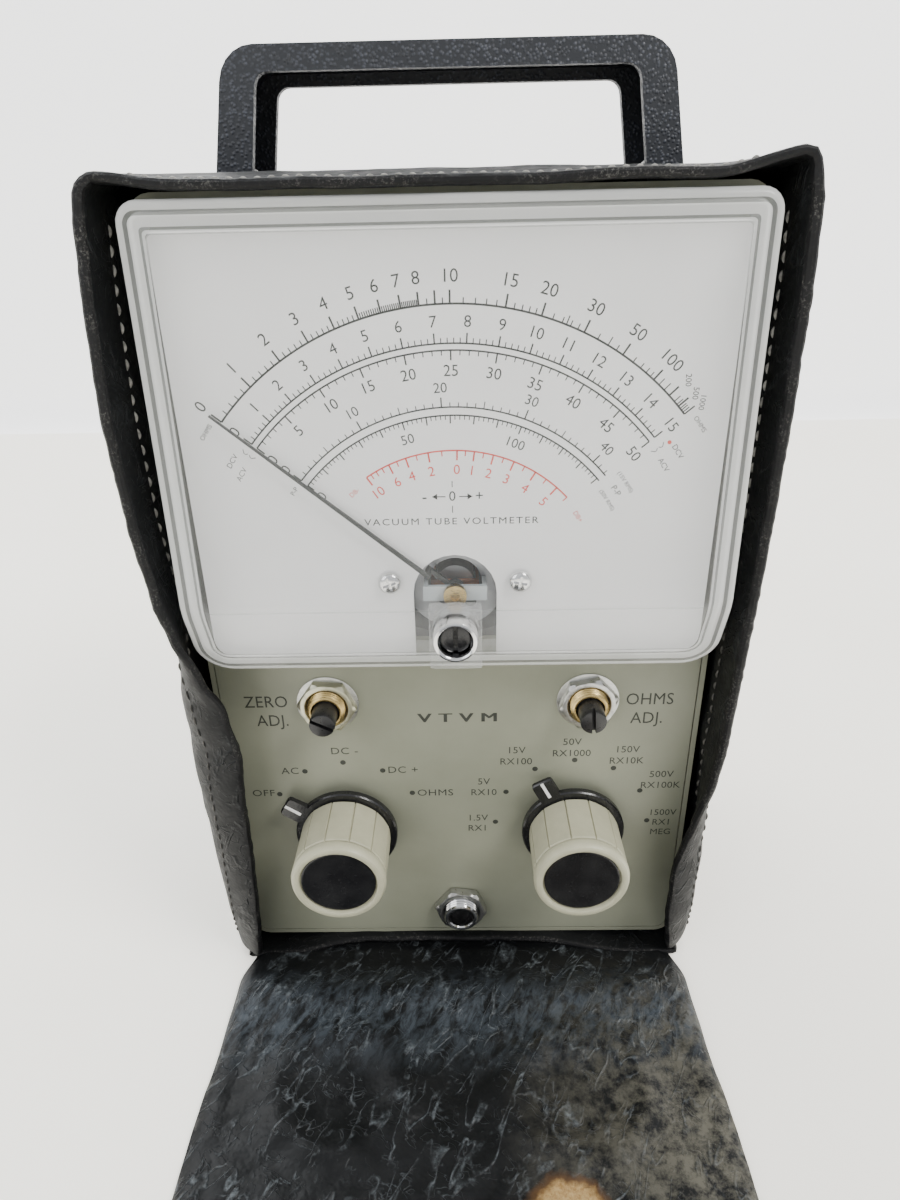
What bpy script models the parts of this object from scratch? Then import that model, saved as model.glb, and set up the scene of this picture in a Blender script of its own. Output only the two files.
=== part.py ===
"""Portable vacuum-tube voltmeter in a leatherette carrying case, as an assembly of separate pieces.

World axes: +X to the user's right, +Y away from the user, +Z up. The origin lies on the surface that the
case stands on, below the middle of the cabinet. Almost every piece is placed in the panel frame: x to the
right, up from the panel's lower edge, and out from the panel's front face towards the user.
"""

import math

import bmesh
import bpy
from mathutils import Matrix

MM = 0.001
GAP = 0.3 * MM  # clearance between neighbouring pieces

# Front panel and sheet-steel cabinet
PANEL_WIDTH = 116.0 * MM
PANEL_HEIGHT = 187.4 * MM
PANEL_THICKNESS = 1.5 * MM
PANEL_CORNER = 3.0 * MM
SHELL_WALL = 1.2 * MM
CABINET_DEPTH = 80.0 * MM
REAR_COVER_OUT = -76.0 * MM

# Leatherette carrying case
LEATHER = 2.8 * MM
CASE_FRONT = 16.0 * MM
CASE_FRONT_AT_BASE = 9.0 * MM
CASE_LIP = 5.0 * MM
FLAP_THICKNESS = 1.8 * MM
FLAP_FOLD_OUT = 26.0 * MM
FLAP_LENGTH = 195.0 * MM
FLAP_WIDTH = 126.0 * MM
FLAP_CORNER = 16.0 * MM
FLAP_STRIP_WIDTH = 122.0 * MM

# Carrying handle, a moulded channel
HANDLE_DEPTH = 25.0 * MM
HANDLE_MIDDLE_OUT = -38.0 * MM
HANDLE_HEIGHT = 26.0 * MM
HANDLE_BASE_HALF = 49.5 * MM
HANDLE_TOP_HALF = 44.8 * MM
HANDLE_LEG = 7.7 * MM
HANDLE_BAR = 4.6 * MM
HANDLE_SKIN = 2.2 * MM
HANDLE_FOOT = 3.0 * MM
HANDLE_SCREW_X = 44.4 * MM

# Meter
PIVOT_UP = 110.5 * MM
COVER_HALF_WIDTH = 57.5 * MM
COVER_BOTTOM = 92.8 * MM
COVER_TOP = 187.6 * MM
COVER_FOLD_UP = 110.5 * MM
COVER_FOLD_OUT = 17.0 * MM
COVER_TOP_OUT = 13.2 * MM
COVER_FLANGE_OUT = 10.5 * MM
COVER_WALL = 1.8 * MM
ZERO_SCREW_UP = 104.6 * MM
DIAL_FRONT = 8.5 * MM
DIAL_THICKNESS = 1.0 * MM
DIAL_SCREW_X = 14.0 * MM
DIAL_SCREW_UP = 113.4 * MM
BARREL_UP = 122.8 * MM
BARREL_RADIUS = 27.5 * MM
BARREL_DEPTH = 31.0 * MM
NEEDLE_LENGTH = 61.5 * MM
NEEDLE_REST_DEG = 50.0  # the needle rests this far anticlockwise of straight up
DIAL_HALF_WIDTH = 54.0 * MM
DIAL_BASE = 95.2 * MM
DIAL_TOP = 182.5 * MM
DIAL_CORNERS = (4.7 * MM, 4.7 * MM, 1.5 * MM, 1.5 * MM)  # lower left, lower right, upper right, upper left
DIAL_CUT_OUT = 9.0 * MM

# Controls
KNOB_X = 29.5 * MM
KNOB_UP = 39.0 * MM
KNOB_RADIUS = 11.6 * MM
KNOB_FRONT = 21.6 * MM
KNOB_BACK = 4.7 * MM
KNOB_RECESS_RADIUS = 9.5 * MM
KNOB_RECESS_DEPTH = 1.2 * MM
KNOB_INSERT_RADIUS = 9.2 * MM
SKIRT_RADIUS = 13.2 * MM
SKIRT = (2.7 * MM, 4.4 * MM)
TAB_HALF_WIDTH = 2.9 * MM
TAB_REACH = 18.2 * MM
FUNCTION_REST_DEG = 60.0  # anticlockwise of straight up, at OFF
RANGE_REST_DEG = 30.0  # anticlockwise of straight up, at the third range
SHAFT_RADIUS = 3.1 * MM
BUSHING_RADIUS = 4.7 * MM
NUT_ACROSS = 12.7 * MM
SWITCH_HALF = 15.0 * MM
SWITCH_PLATE = (-3.3 * MM, -1.8 * MM)
WAFERS = (-12.5 * MM, -21.5 * MM)
WAFER_THICKNESS = 1.5 * MM
POT_X = 31.8 * MM
POT_UP = 77.0 * MM
POT_BUSHING_FRONT = 4.4 * MM
POT_SHAFT_FRONT = 9.8 * MM
POT_SHAFT_SLOT = 1.8 * MM
JACK_UP = 9.0 * MM

# Inside
SHELF_UP = 88.0 * MM
BOARD_OUT = -36.0 * MM
CORD_INLET = (35.0 * MM, 20.0 * MM)

SIDES = (("left", -1), ("right", 1))
OBJECT_NAME = "vacuum_tube_voltmeter"


# ---------------------------------------------------------------- scene, frames and materials


def new_collection(name, hidden=False):
    collection = bpy.data.collections.new(name)
    collection.hide_render = hidden
    bpy.context.scene.collection.children.link(collection)
    return collection


for old in list(bpy.data.objects):
    bpy.data.objects.remove(old)
PARTS = new_collection(OBJECT_NAME)
CUTTERS = new_collection("cutters", hidden=True)

CASE_BASE_UP = -(GAP + SHELL_WALL + GAP + LEATHER)
CABINET_HALF = PANEL_WIDTH / 2 + GAP + SHELL_WALL
CABINET_BASE_UP = -GAP - SHELL_WALL
CABINET_TOP_UP = PANEL_HEIGHT + GAP + SHELL_WALL

PANEL_FRAME = bpy.data.objects.new("panel_frame", None)
PANEL_FRAME.location = (0, -CABINET_DEPTH / 2, -CASE_BASE_UP)
PANEL_FRAME.rotation_euler = (math.radians(90), 0, 0)
PARTS.objects.link(PANEL_FRAME)

MATERIALS = {
    "black_leatherette": ((0.018, 0.018, 0.020), 0.42, 0.0),
    "black_plastic": ((0.030, 0.032, 0.040), 0.55, 0.0),
    "olive_enamel": ((0.29, 0.29, 0.21), 0.50, 0.2),
    "beige_plastic": ((0.50, 0.48, 0.33), 0.45, 0.0),
    "gloss_black": ((0.012, 0.012, 0.013), 0.18, 0.0),
    "clear_plastic": ((0.92, 0.94, 0.94), 0.05, 0.0),
    "dial_white": ((0.80, 0.80, 0.79), 0.50, 0.0),
    "needle_black": ((0.02, 0.02, 0.02), 0.50, 0.3),
    "zinc_steel": ((0.62, 0.62, 0.60), 0.35, 1.0),
    "brass": ((0.72, 0.56, 0.28), 0.32, 1.0),
    "chrome": ((0.80, 0.80, 0.80), 0.12, 1.0),
    "grey_steel": ((0.30, 0.31, 0.33), 0.45, 0.9),
    "circuit_board": ((0.36, 0.27, 0.10), 0.55, 0.0),
    "glass": ((0.85, 0.90, 0.90), 0.05, 0.0),
    "copper": ((0.62, 0.30, 0.16), 0.40, 1.0),
    "rubber": ((0.020, 0.020, 0.020), 0.80, 0.0),
}


def material(name):
    if name in bpy.data.materials:
        return bpy.data.materials[name]
    colour, roughness, metallic = MATERIALS[name]
    made = bpy.data.materials.new(name)
    made.use_nodes = True
    shader = made.node_tree.nodes["Principled BSDF"]
    shader.inputs["Base Color"].default_value = (*colour, 1)
    shader.inputs["Roughness"].default_value = roughness
    shader.inputs["Metallic"].default_value = metallic
    return made


def mm(*values):
    """Lengths given in millimetres, in metres."""
    return tuple(value * MM for value in values)


def place(obj, finish, location=(0, 0, 0), turn=(0, 0, 0)):
    """Puts a piece in the panel frame, or a cutter where finish is None."""
    (PARTS if finish else CUTTERS).objects.link(obj)
    obj.parent = PANEL_FRAME
    obj.location = location
    obj.rotation_euler = turn
    if finish:
        obj.data.materials.append(material(finish))
    else:
        obj.hide_render = True
        obj.display_type = "WIRE"
    return obj


# ---------------------------------------------------------------- shapes


def object_of(bm, name):
    mesh = bpy.data.meshes.new(name)
    bm.to_mesh(mesh)
    bm.free()
    return bpy.data.objects.new(name, mesh)


def box(name, finish, x, up, out, centre=(0, 0, 0), turn=(0, 0, 0)):
    """A block between three (low, high) pairs."""
    bm = bmesh.new()
    bmesh.ops.create_cube(bm, size=1)
    size = [high - low for low, high in (x, up, out)]
    middle = [(high + low) / 2 for low, high in (x, up, out)]
    bm.transform(Matrix.Translation(middle) @ Matrix.Diagonal((*size, 1)))
    return place(object_of(bm, name), finish, centre, turn)


def rod(name, finish, centre, radius, out, sides=24, turn=(0, 0, 0)):
    """A cylinder along the piece's own Z axis, which is the panel frame's out unless it is turned."""
    bm = bmesh.new()
    length = out[1] - out[0]
    shift = Matrix.Translation((0, 0, (out[0] + out[1]) / 2))
    bmesh.ops.create_cone(
        bm, cap_ends=True, segments=sides, radius1=radius, radius2=radius, depth=length, matrix=shift
    )
    obj = object_of(bm, name)
    smooth(obj)
    return place(obj, finish, (*centre, 0), turn)


def smooth(obj):
    obj.data.shade_smooth()
    obj.data.set_sharp_from_angle(angle=math.radians(35))


def turned(name, finish, centre, profile, steps=24, turn=(0, 0, 0)):
    """A profile of (radius, out) turned about the piece's Z axis, from its front end down its outer side."""
    bm = bmesh.new()
    points = [bm.verts.new((radius, 0, out)) for radius, out in profile]
    closed = all(radius > 0 for radius, out in profile)
    for first, second in zip(points, points[1:] + points[:1] * closed):
        bm.edges.new((first, second))
    obj = place(object_of(bm, name), finish, (*centre, 0), turn)
    screw = obj.modifiers.new("turn", "SCREW")
    screw.axis = "Z"
    screw.steps = steps
    screw.render_steps = steps
    screw.use_merge_vertices = True
    screw.merge_threshold = 0.00001
    screw.use_smooth_shade = False
    return obj


def on_circle(centre, radius, angle):
    return centre[0] + radius * math.cos(angle), centre[1] + radius * math.sin(angle)


def rounded(points, radii, steps=5):
    """A polygon's corners replaced by arcs of the given radii."""
    outline = []
    for index, (corner, radius) in enumerate(zip(points, radii)):
        if radius == 0:
            outline.append(corner)
            continue
        before = points[index - 1]
        after = points[(index + 1) % len(points)]
        to_before = math.atan2(before[1] - corner[1], before[0] - corner[0])
        to_after = math.atan2(after[1] - corner[1], after[0] - corner[0])
        opening = (to_after - to_before + math.pi) % math.tau - math.pi
        half = opening / 2
        reach = radius / math.sin(abs(half))
        middle = to_before + half
        centre = (corner[0] + reach * math.cos(middle), corner[1] + reach * math.sin(middle))
        sweep = math.copysign(math.pi - abs(opening), opening)
        for step in range(steps + 1):
            angle = middle + math.pi + sweep * (0.5 - step / steps)
            outline.append(on_circle(centre, radius, angle))
    return outline


def rounded_box(x, up, radii):
    """A rectangle's outline, with radii in the order lower left, lower right, upper right, upper left."""
    corners = [(x[0], up[0]), (x[1], up[0]), (x[1], up[1]), (x[0], up[1])]
    if not isinstance(radii, (list, tuple)):
        radii = [radii] * 4
    return rounded(corners, radii)


def circle(centre, radius, sides=24):
    angles = [math.tau * (index + 0.5) / sides for index in range(sides)]
    return [on_circle(centre, radius, angle) for angle in angles]


def plate(name, finish, outlines, out, centre=(0, 0), turn=(0, 0, 0)):
    """A flat shape with its holes, filled and given a thickness between two out values."""
    curve = bpy.data.curves.new(name, "CURVE")
    curve.dimensions = "2D"
    curve.fill_mode = "BOTH"
    curve.extrude = (out[1] - out[0]) / 2
    for outline in outlines:
        spline = curve.splines.new("POLY")
        spline.points.add(len(outline) - 1)
        for point, (x, y) in zip(spline.points, outline):
            point.co = (x, y, 0, 1)
        spline.use_cyclic_u = True
    level = Matrix.Translation((0, 0, (out[0] + out[1]) / 2))
    holder = bpy.data.objects.new(name + "_outline", curve)
    bpy.context.scene.collection.objects.link(holder)
    graph = bpy.context.evaluated_depsgraph_get()
    mesh = bpy.data.meshes.new_from_object(holder.evaluated_get(graph))
    bpy.data.objects.remove(holder)
    bpy.data.curves.remove(curve)
    bm = bmesh.new()
    bm.from_mesh(mesh)
    bmesh.ops.remove_doubles(bm, verts=bm.verts, dist=1e-7)
    bm.transform(level)
    bm.to_mesh(mesh)
    bm.free()
    mesh.name = name
    obj = bpy.data.objects.new(name, mesh)
    return place(obj, finish, (*centre, 0), turn)


def combine(target, operation, *others):
    for other in others:
        boolean = target.modifiers.new(operation.lower(), "BOOLEAN")
        boolean.operation = operation
        boolean.solver = "EXACT"
        boolean.object = other
    return target


def hexagon(across_flats):
    radius = across_flats / 2 / math.cos(math.radians(30))
    angles = [math.radians(60 * index) for index in range(6)]
    return [(radius * math.cos(a), radius * math.sin(a)) for a in angles]


def pan_head_profile(head_radius, head_height, shank_radius, seat, tip):
    """A pan-head screw, seated at out = seat, with its shank reaching back to out = tip."""
    return [
        (0, seat + head_height),
        (head_radius * 0.55, seat + head_height * 0.93),
        (head_radius * 0.9, seat + head_height * 0.55),
        (head_radius, seat),
        (shank_radius, seat),
        (shank_radius, tip),
        (0, tip),
    ]


# ---------------------------------------------------------------- carrying case


def make_case():
    half = CABINET_HALF + GAP
    back = -CABINET_DEPTH - GAP - LEATHER
    top = CABINET_TOP_UP + GAP + LEATHER
    box("case_bottom", "black_leatherette", (-half - LEATHER, half + LEATHER),
        (CASE_BASE_UP, CASE_BASE_UP + LEATHER), (back, CASE_LIP))
    for side, sign in SIDES:
        inner, outer = sorted((sign * half, sign * (half + LEATHER)))
        panel = box(f"case_{side}_side", "black_leatherette", (inner, outer),
                    (CASE_BASE_UP + LEATHER + GAP, top), (back, CASE_FRONT))
        slope_front_edge(panel)
    slots = [handle_slot(sign) for side, sign in SIDES]
    rim = rounded_box((-half + GAP, half - GAP), (back, CASE_FRONT - 2 * MM), 0)
    lid = plate("case_top", "black_leatherette", [mirror_out(o) for o in [rim, *slots]],
                (top - LEATHER, top), turn=(math.radians(-90), 0, 0))
    lid.location.y = 0
    wall = rounded_box((-half + GAP, half - GAP), (CASE_BASE_UP + LEATHER + GAP, top - LEATHER - GAP), 0)
    plate("case_back", "black_leatherette", [wall, circle(CORD_INLET, 12 * MM, 24)], (back, back + LEATHER))


def slope_front_edge(panel):
    """The side walls reach less far forward at the base than at the top."""
    mesh = panel.data
    low = min(vertex.co.y for vertex in mesh.vertices)
    front = max(vertex.co.z for vertex in mesh.vertices)
    for vertex in mesh.vertices:
        if vertex.co.y == low and vertex.co.z == front:
            vertex.co.z = CASE_FRONT_AT_BASE


def handle_slot(sign):
    """The cut-out in the case's top that a handle leg stands in."""
    room = 0.7 * MM
    across = sorted((sign * (HANDLE_BASE_HALF - HANDLE_LEG - room), sign * (HANDLE_BASE_HALF + room)))
    middle = HANDLE_MIDDLE_OUT
    reach = HANDLE_DEPTH / 2 + room
    return rounded_box(across, (middle - reach, middle + reach), 0)


def mirror_out(outline):
    """A plan outline in (x, out), for a plate whose own Y axis runs inwards."""
    return [(x, -out) for x, out in outline]


def make_flap():
    """The front flap lies open on the table: a fixed strip up to the fold, and the flap beyond it."""
    level = (CASE_BASE_UP, CASE_BASE_UP + FLAP_THICKNESS)
    box("flap_hinge_strip", "black_leatherette", (-FLAP_STRIP_WIDTH / 2, FLAP_STRIP_WIDTH / 2), level,
        (CASE_LIP + GAP, FLAP_FOLD_OUT))
    start = FLAP_FOLD_OUT + GAP
    half = FLAP_WIDTH / 2
    sheet = rounded_box((-half, half), (0, FLAP_LENGTH), [0, 0, FLAP_CORNER, FLAP_CORNER])
    flap = plate("front_flap", "black_leatherette", [mirror_out(sheet)], (-FLAP_THICKNESS, 0),
                 turn=(math.radians(-90), 0, 0))
    flap.location = (0, level[1], start)


# ---------------------------------------------------------------- handle


def make_handle():
    foot = CABINET_TOP_UP + GAP
    top = foot + HANDLE_HEIGHT
    base, crown = HANDLE_BASE_HALF, HANDLE_TOP_HALF
    inner_base, inner_crown = base - HANDLE_LEG, crown - HANDLE_LEG + 1.5 * MM
    depth = (HANDLE_MIDDLE_OUT - HANDLE_DEPTH / 2, HANDLE_MIDDLE_OUT + HANDLE_DEPTH / 2)
    outline = rounded(
        [(-base, foot), (-crown, top), (crown, top), (base, foot), (inner_base, foot),
         (inner_crown, top - HANDLE_BAR), (-inner_crown, top - HANDLE_BAR), (-inner_base, foot)],
        [0, 7.5 * MM, 7.5 * MM, 0, 0, 3 * MM, 3 * MM, 0],
    )
    handle = plate("carrying_handle", "black_plastic", [outline], depth)
    skin = HANDLE_SKIN
    sill = foot + HANDLE_FOOT
    past = 4 * MM
    channel = rounded(
        [(-base + skin, sill), (-crown + skin, top - skin), (crown - skin, top - skin), (base - skin, sill),
         (inner_base - past, sill), (inner_crown - past, top - HANDLE_BAR - past),
         (-inner_crown + past, top - HANDLE_BAR - past), (-inner_base + past, sill)],
        [0, 5.5 * MM, 5.5 * MM, 0, 0, 0, 0, 0],
    )
    hollow = plate("handle_channel_cutter", None, [channel], (depth[0] + skin, depth[1] - skin))
    combine(handle, "DIFFERENCE", hollow)
    for side, sign in SIDES:
        centre = (sign * HANDLE_SCREW_X, 0)
        drill = rod(f"handle_{side}_hole_cutter", None, centre, 1.6 * MM, (-1 * MM, 8 * MM), 16)
        screw = turned(f"handle_{side}_screw", "zinc_steel", centre,
                       pan_head_profile(2.2 * MM, 1.6 * MM, 1.3 * MM, HANDLE_FOOT + GAP, -6 * MM), 20)
        for piece in (drill, screw):
            piece.location = (centre[0], foot, HANDLE_MIDDLE_OUT)
            piece.rotation_euler = (math.radians(-90), 0, 0)
        combine(handle, "DIFFERENCE", drill)


# ---------------------------------------------------------------- cabinet


def make_cabinet():
    half, base, top = CABINET_HALF, CABINET_BASE_UP, CABINET_TOP_UP
    wall = SHELL_WALL
    outer = rounded_box((-half, half), (base, top), PANEL_CORNER + GAP + wall)
    inner = rounded_box((-half + wall, half - wall), (base + wall, top - wall), PANEL_CORNER + GAP)
    shell = plate("cabinet_shell", "olive_enamel", [outer, inner], (-CABINET_DEPTH, 0))
    for side, sign in SIDES:
        drill = rod(f"shell_{side}_hole_cutter", None, (0, 0), 1.6 * MM, (-4 * MM, 4 * MM), 16)
        drill.location = (sign * HANDLE_SCREW_X, top, HANDLE_MIDDLE_OUT)
        drill.rotation_euler = (math.radians(-90), 0, 0)
        combine(shell, "DIFFERENCE", drill)
    outline = rounded_box((-PANEL_WIDTH / 2, PANEL_WIDTH / 2), (0, PANEL_HEIGHT), PANEL_CORNER)
    make_front_panel(outline)
    screws = [(sign * 50 * MM, PANEL_HEIGHT / 2) for side, sign in SIDES]
    cover = (REAR_COVER_OUT - SHELL_WALL, REAR_COVER_OUT)
    holes = [circle(centre, 2 * MM, 16) for centre in screws]
    plate("rear_cover", "olive_enamel", [outline, circle(CORD_INLET, 6.1 * MM, 24), *holes], cover)
    for (side, _), centre in zip(SIDES, screws):
        screw = turned(f"rear_cover_{side}_screw", "zinc_steel", centre,
                       pan_head_profile(3.2 * MM, 1.8 * MM, 1.7 * MM, 0, -8 * MM), 20)
        screw.location.z = cover[0] - GAP
        screw.rotation_euler = (math.radians(180), 0, 0)
    grommet = [(3.6, -84.4), (3.6, -73), (7.6, -73), (7.6, -75.7), (5.8, -75.7), (5.8, -77.5), (7.6, -77.5),
               (7.6, -80), (5.2, -84.4)]
    turned("cord_grommet", "rubber", CORD_INLET, [(r * MM, out * MM) for r, out in grommet], 24)


def make_front_panel(outline):
    hole = BUSHING_RADIUS + GAP
    centres = [(0, JACK_UP)]
    for _, sign in SIDES:
        centres += [(sign * KNOB_X, KNOB_UP), (sign * POT_X, POT_UP)]
    holes = [circle(centre, hole, 24) for centre in centres]
    barrel = circle((0, BARREL_UP), BARREL_RADIUS + GAP, 40)
    plate("front_panel", "olive_enamel", [outline, barrel, *holes], (-PANEL_THICKNESS, 0))


# ---------------------------------------------------------------- meter


def cover_block(name, finish, inset):
    """The meter cover's outer form, or its hollow where inset is the wall's thickness."""
    rear = GAP - 2 * MM * (inset > 0)
    side = [
        (rear, COVER_BOTTOM + inset),
        (COVER_FLANGE_OUT - inset / 2, COVER_BOTTOM + inset),
        (COVER_FOLD_OUT - inset, COVER_FOLD_UP - inset / 3),
        (COVER_TOP_OUT - inset, COVER_TOP - inset),
        (rear, COVER_TOP - inset),
    ]
    section = rounded(side, [0, 1.5 * MM, 1.5 * MM, 1.5 * MM, 0], 2)
    across = COVER_HALF_WIDTH - inset
    # the section lies in (out, up) and runs across the panel
    block = plate(name, finish, [[(-out, up) for out, up in section]], (-across, across),
                  turn=(0, math.radians(90), 0))
    front = rounded_box((-across, across), (COVER_BOTTOM + inset, COVER_TOP - inset),
                        [8 * MM - inset, 8 * MM - inset, 4 * MM - inset, 4 * MM - inset])
    corners = plate(name + "_corner_cutter", None, [front], (rear - 1 * MM, 30 * MM))
    return combine(block, "INTERSECT", corners)


def make_meter_cover():
    cover = cover_block("meter_cover", "clear_plastic", 0)
    boss = box("zero_boss_block", None, mm(-5.6, 5.6), mm(95.5, 109.5), mm(11, 15.2))
    hollow = cover_block("meter_hollow_cutter", None, COVER_WALL)
    centre = (0, ZERO_SCREW_UP)
    drill = rod("zero_boss_drill", None, centre, 5.0 * MM, mm(-5, 25), 32)
    combine(cover, "DIFFERENCE", hollow)
    combine(cover, "UNION", boss)
    combine(cover, "DIFFERENCE", drill)
    collar = [(3.6, 19.6), (4.3, 20.2), (4.7, 19.6), (4.7, 12), (3.6, 12)]
    turned("meter_zero_collar", "chrome", centre, [mm(*point) for point in collar], 28)
    screw = rod("meter_zero_screw", "gloss_black", centre, 3.2 * MM, mm(11, 18.6), 28)
    slot = box("zero_screw_slot", None, mm(-0.5, 0.5), mm(-5, 5), mm(17.4, 20), (*centre, 0))
    combine(screw, "DIFFERENCE", slot)


def make_meter_body():
    rim = rounded_box(mm(-50, 50), mm(96.5, 181), 4 * MM)
    body = plate("meter_body", "black_plastic", [rim], (GAP, 2 * MM))
    centre = (0, BARREL_UP)
    wall = 2 * MM
    barrel = rod("meter_barrel", None, centre, BARREL_RADIUS, (-BARREL_DEPTH, 1.5 * MM), 40)
    cavity = rod("meter_cavity", None, centre, BARREL_RADIUS - wall, (wall - BARREL_DEPTH, 5 * MM), 40)
    combine(body, "UNION", barrel)
    combine(body, "DIFFERENCE", cavity)
    # two lugs on the rim, close behind the dial
    lug_x, lug_up = BARREL_RADIUS + 1 * MM, BARREL_UP + 12 * MM
    for side, sign in SIDES:
        centre = (sign * lug_x, lug_up, 0)
        lug = box(f"dial_{side}_lug", None, mm(-2.6, 2.6), mm(-2.6, 2.6), mm(1, 7.2), centre)
        combine(body, "UNION", lug)


def make_dial():
    cut = DIAL_CUT_OUT
    left_radius, right_radius, *top_radii = DIAL_CORNERS
    arch = [on_circle((0, PIVOT_UP), cut, math.radians(angle)) for angle in range(180, -1, -15)]
    half = DIAL_HALF_WIDTH
    corners = [(-half, DIAL_BASE), (-cut, DIAL_BASE), *arch, (cut, DIAL_BASE), (half, DIAL_BASE)]
    corners += [(half, DIAL_TOP), (-half, DIAL_TOP)]
    radii = [left_radius, 0, *[0] * len(arch), 0, right_radius, *top_radii]
    screws = [(sign * DIAL_SCREW_X, DIAL_SCREW_UP) for side, sign in SIDES]
    holes = [circle(centre, 1.5 * MM, 16) for centre in screws]
    depth = (DIAL_FRONT - DIAL_THICKNESS, DIAL_FRONT)
    plate("dial_plate", "dial_white", [rounded(corners, radii), *holes], depth)
    for (side, _), centre in zip(SIDES, screws):
        profile = pan_head_profile(2.5 * MM, 1.5 * MM, 1.2 * MM, DIAL_FRONT + GAP, 4.5 * MM)
        turned(f"dial_{side}_screw", "chrome", centre, profile, 24)


def make_movement():
    """A moving coil round a fixed core, inside a magnet ring, with the needle on the coil's pivot."""
    pivot = (0, PIVOT_UP)
    at_pivot = (*pivot, 0)
    yoke = rod("magnet_yoke", "grey_steel", pivot, 11.0 * MM, mm(-12, 3), 36)
    block = box("magnet_block", None, mm(-9, 9), mm(7, 26), mm(-11, 1), at_pivot)
    bore = rod("magnet_bore", None, pivot, 6.0 * MM, mm(-20, 10), 32)
    combine(yoke, "UNION", block)
    combine(yoke, "DIFFERENCE", bore)
    rod("moving_coil_core", "grey_steel", pivot, 4.2 * MM, mm(-12, 3), 28)

    coil = box("moving_coil", "copper", mm(-5.3, 5.3), mm(-1.3, 1.3), mm(-14, 4.6), at_pivot)
    window = box("coil_window", None, mm(-4.6, 4.6), mm(-3, 3), mm(-12.8, 3.6), at_pivot)
    combine(coil, "DIFFERENCE", window)
    bridge = box("pivot_bridge", "grey_steel", mm(-6.9, 6.9), mm(-1.7, 1.7), mm(3.3, 8.6), at_pivot)
    room = box("bridge_room", None, mm(-5.9, 5.9), mm(-5, 5), mm(0, 7.6), at_pivot)
    hole = rod("bridge_hole", None, pivot, 1.5 * MM, mm(5, 12), 16)
    combine(bridge, "DIFFERENCE", room, hole)
    jewel = [(0, 9.5), (1.1, 9.5), (1.1, 10.3), (2.5, 10.3), (2.5, 8.9), (1.2, 8.9), (1.2, 7.3), (0, 7.3)]
    turned("pivot_jewel_screw", "brass", pivot, [mm(*point) for point in jewel], 24)
    make_needle(pivot)


def make_needle(pivot):
    """The needle's arm leaves the hub behind the bridge, steps forward in the dial's cut-out, and tapers."""
    turn = (0, 0, math.radians(NEEDLE_REST_DEG))
    at_pivot = (*pivot, 0)
    hub = rod("meter_needle", "needle_black", pivot, 2.0 * MM, mm(5.0, 7.0), 20)
    hub.rotation_euler = turn
    arm = box("needle_arm", None, mm(-0.5, 0.5), mm(-4.6, 7.9), mm(5.4, 6.4), at_pivot, turn)
    step = box("needle_step", None, mm(-0.5, 0.5), mm(7.0, 7.9), mm(5.6, 10.2), at_pivot, turn)
    tail = rod("needle_tail", None, pivot, 1.3 * MM, mm(5.2, 6.6), 12)
    tail.rotation_euler = turn
    tail.data.transform(Matrix.Translation((0, -4.4 * MM, 0)))
    root, half_root, half_tip = mm(7.2, 0.5, 0.18)
    blade = [(-half_root, root), (half_root, root), (half_tip, NEEDLE_LENGTH), (-half_tip, NEEDLE_LENGTH)]
    needle = plate("needle_blade", None, [blade], mm(9.7, 10.2), pivot, turn)
    combine(hub, "UNION", arm, tail, step, needle)


# ---------------------------------------------------------------- controls


def panel_nut(name, centre, front, degrees):
    """A hexagon nut on the panel, round a bushing."""
    opening = circle((0, 0), BUSHING_RADIUS + GAP, 24)
    nut = plate(name, "zinc_steel", [hexagon(NUT_ACROSS), opening], (GAP, front), centre)
    nut.rotation_euler = (0, 0, math.radians(degrees))


def make_rotary_control(name, x, rest_deg):
    """A rotary switch behind the panel and its knob in front, both about the same axis."""
    centre = (x, KNOB_UP)
    turn = (0, 0, math.radians(rest_deg))
    clear = SHAFT_RADIUS + GAP
    half = SWITCH_HALF
    frame = box(f"{name}_switch", "grey_steel", (-half, half), (-half, half), SWITCH_PLATE, (*centre, 0))
    bushing = rod(f"{name}_bushing", None, centre, BUSHING_RADIUS, mm(-3, 2.4), 20)
    combine(frame, "UNION", bushing)
    for level in WAFERS:
        wafer = rod(f"{name}_wafer", None, centre, half, (level - WAFER_THICKNESS, level), 20)
        opening = rod(f"{name}_wafer_opening", None, centre, 6.6 * MM, (level - half, level + half), 16)
        combine(wafer, "DIFFERENCE", opening)
        combine(frame, "UNION", wafer)
    for side, sign in SIDES:
        foot = (x + sign * 11.5 * MM, KNOB_UP)
        post = rod(f"{name}_{side}_post", None, foot, 1.7 * MM, mm(-24, -2.5), 12)
        combine(frame, "UNION", post)
    drill = rod(f"{name}_drill", None, centre, clear, mm(-8, 6), 20)
    combine(frame, "DIFFERENCE", drill)
    panel_nut(f"{name}_switch_nut", centre, 2.2 * MM, 12)
    rotor = rod(f"{name}_switch_shaft", "brass", centre, SHAFT_RADIUS, mm(-25, 17), 20)
    for level in WAFERS:
        disc = rod(f"{name}_rotor_disc", None, centre, 6.2 * MM, (level - WAFER_THICKNESS, level), 16)
        combine(rotor, "UNION", disc)
    rotor.rotation_euler = turn
    make_knob(name, centre, turn, clear)


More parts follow.
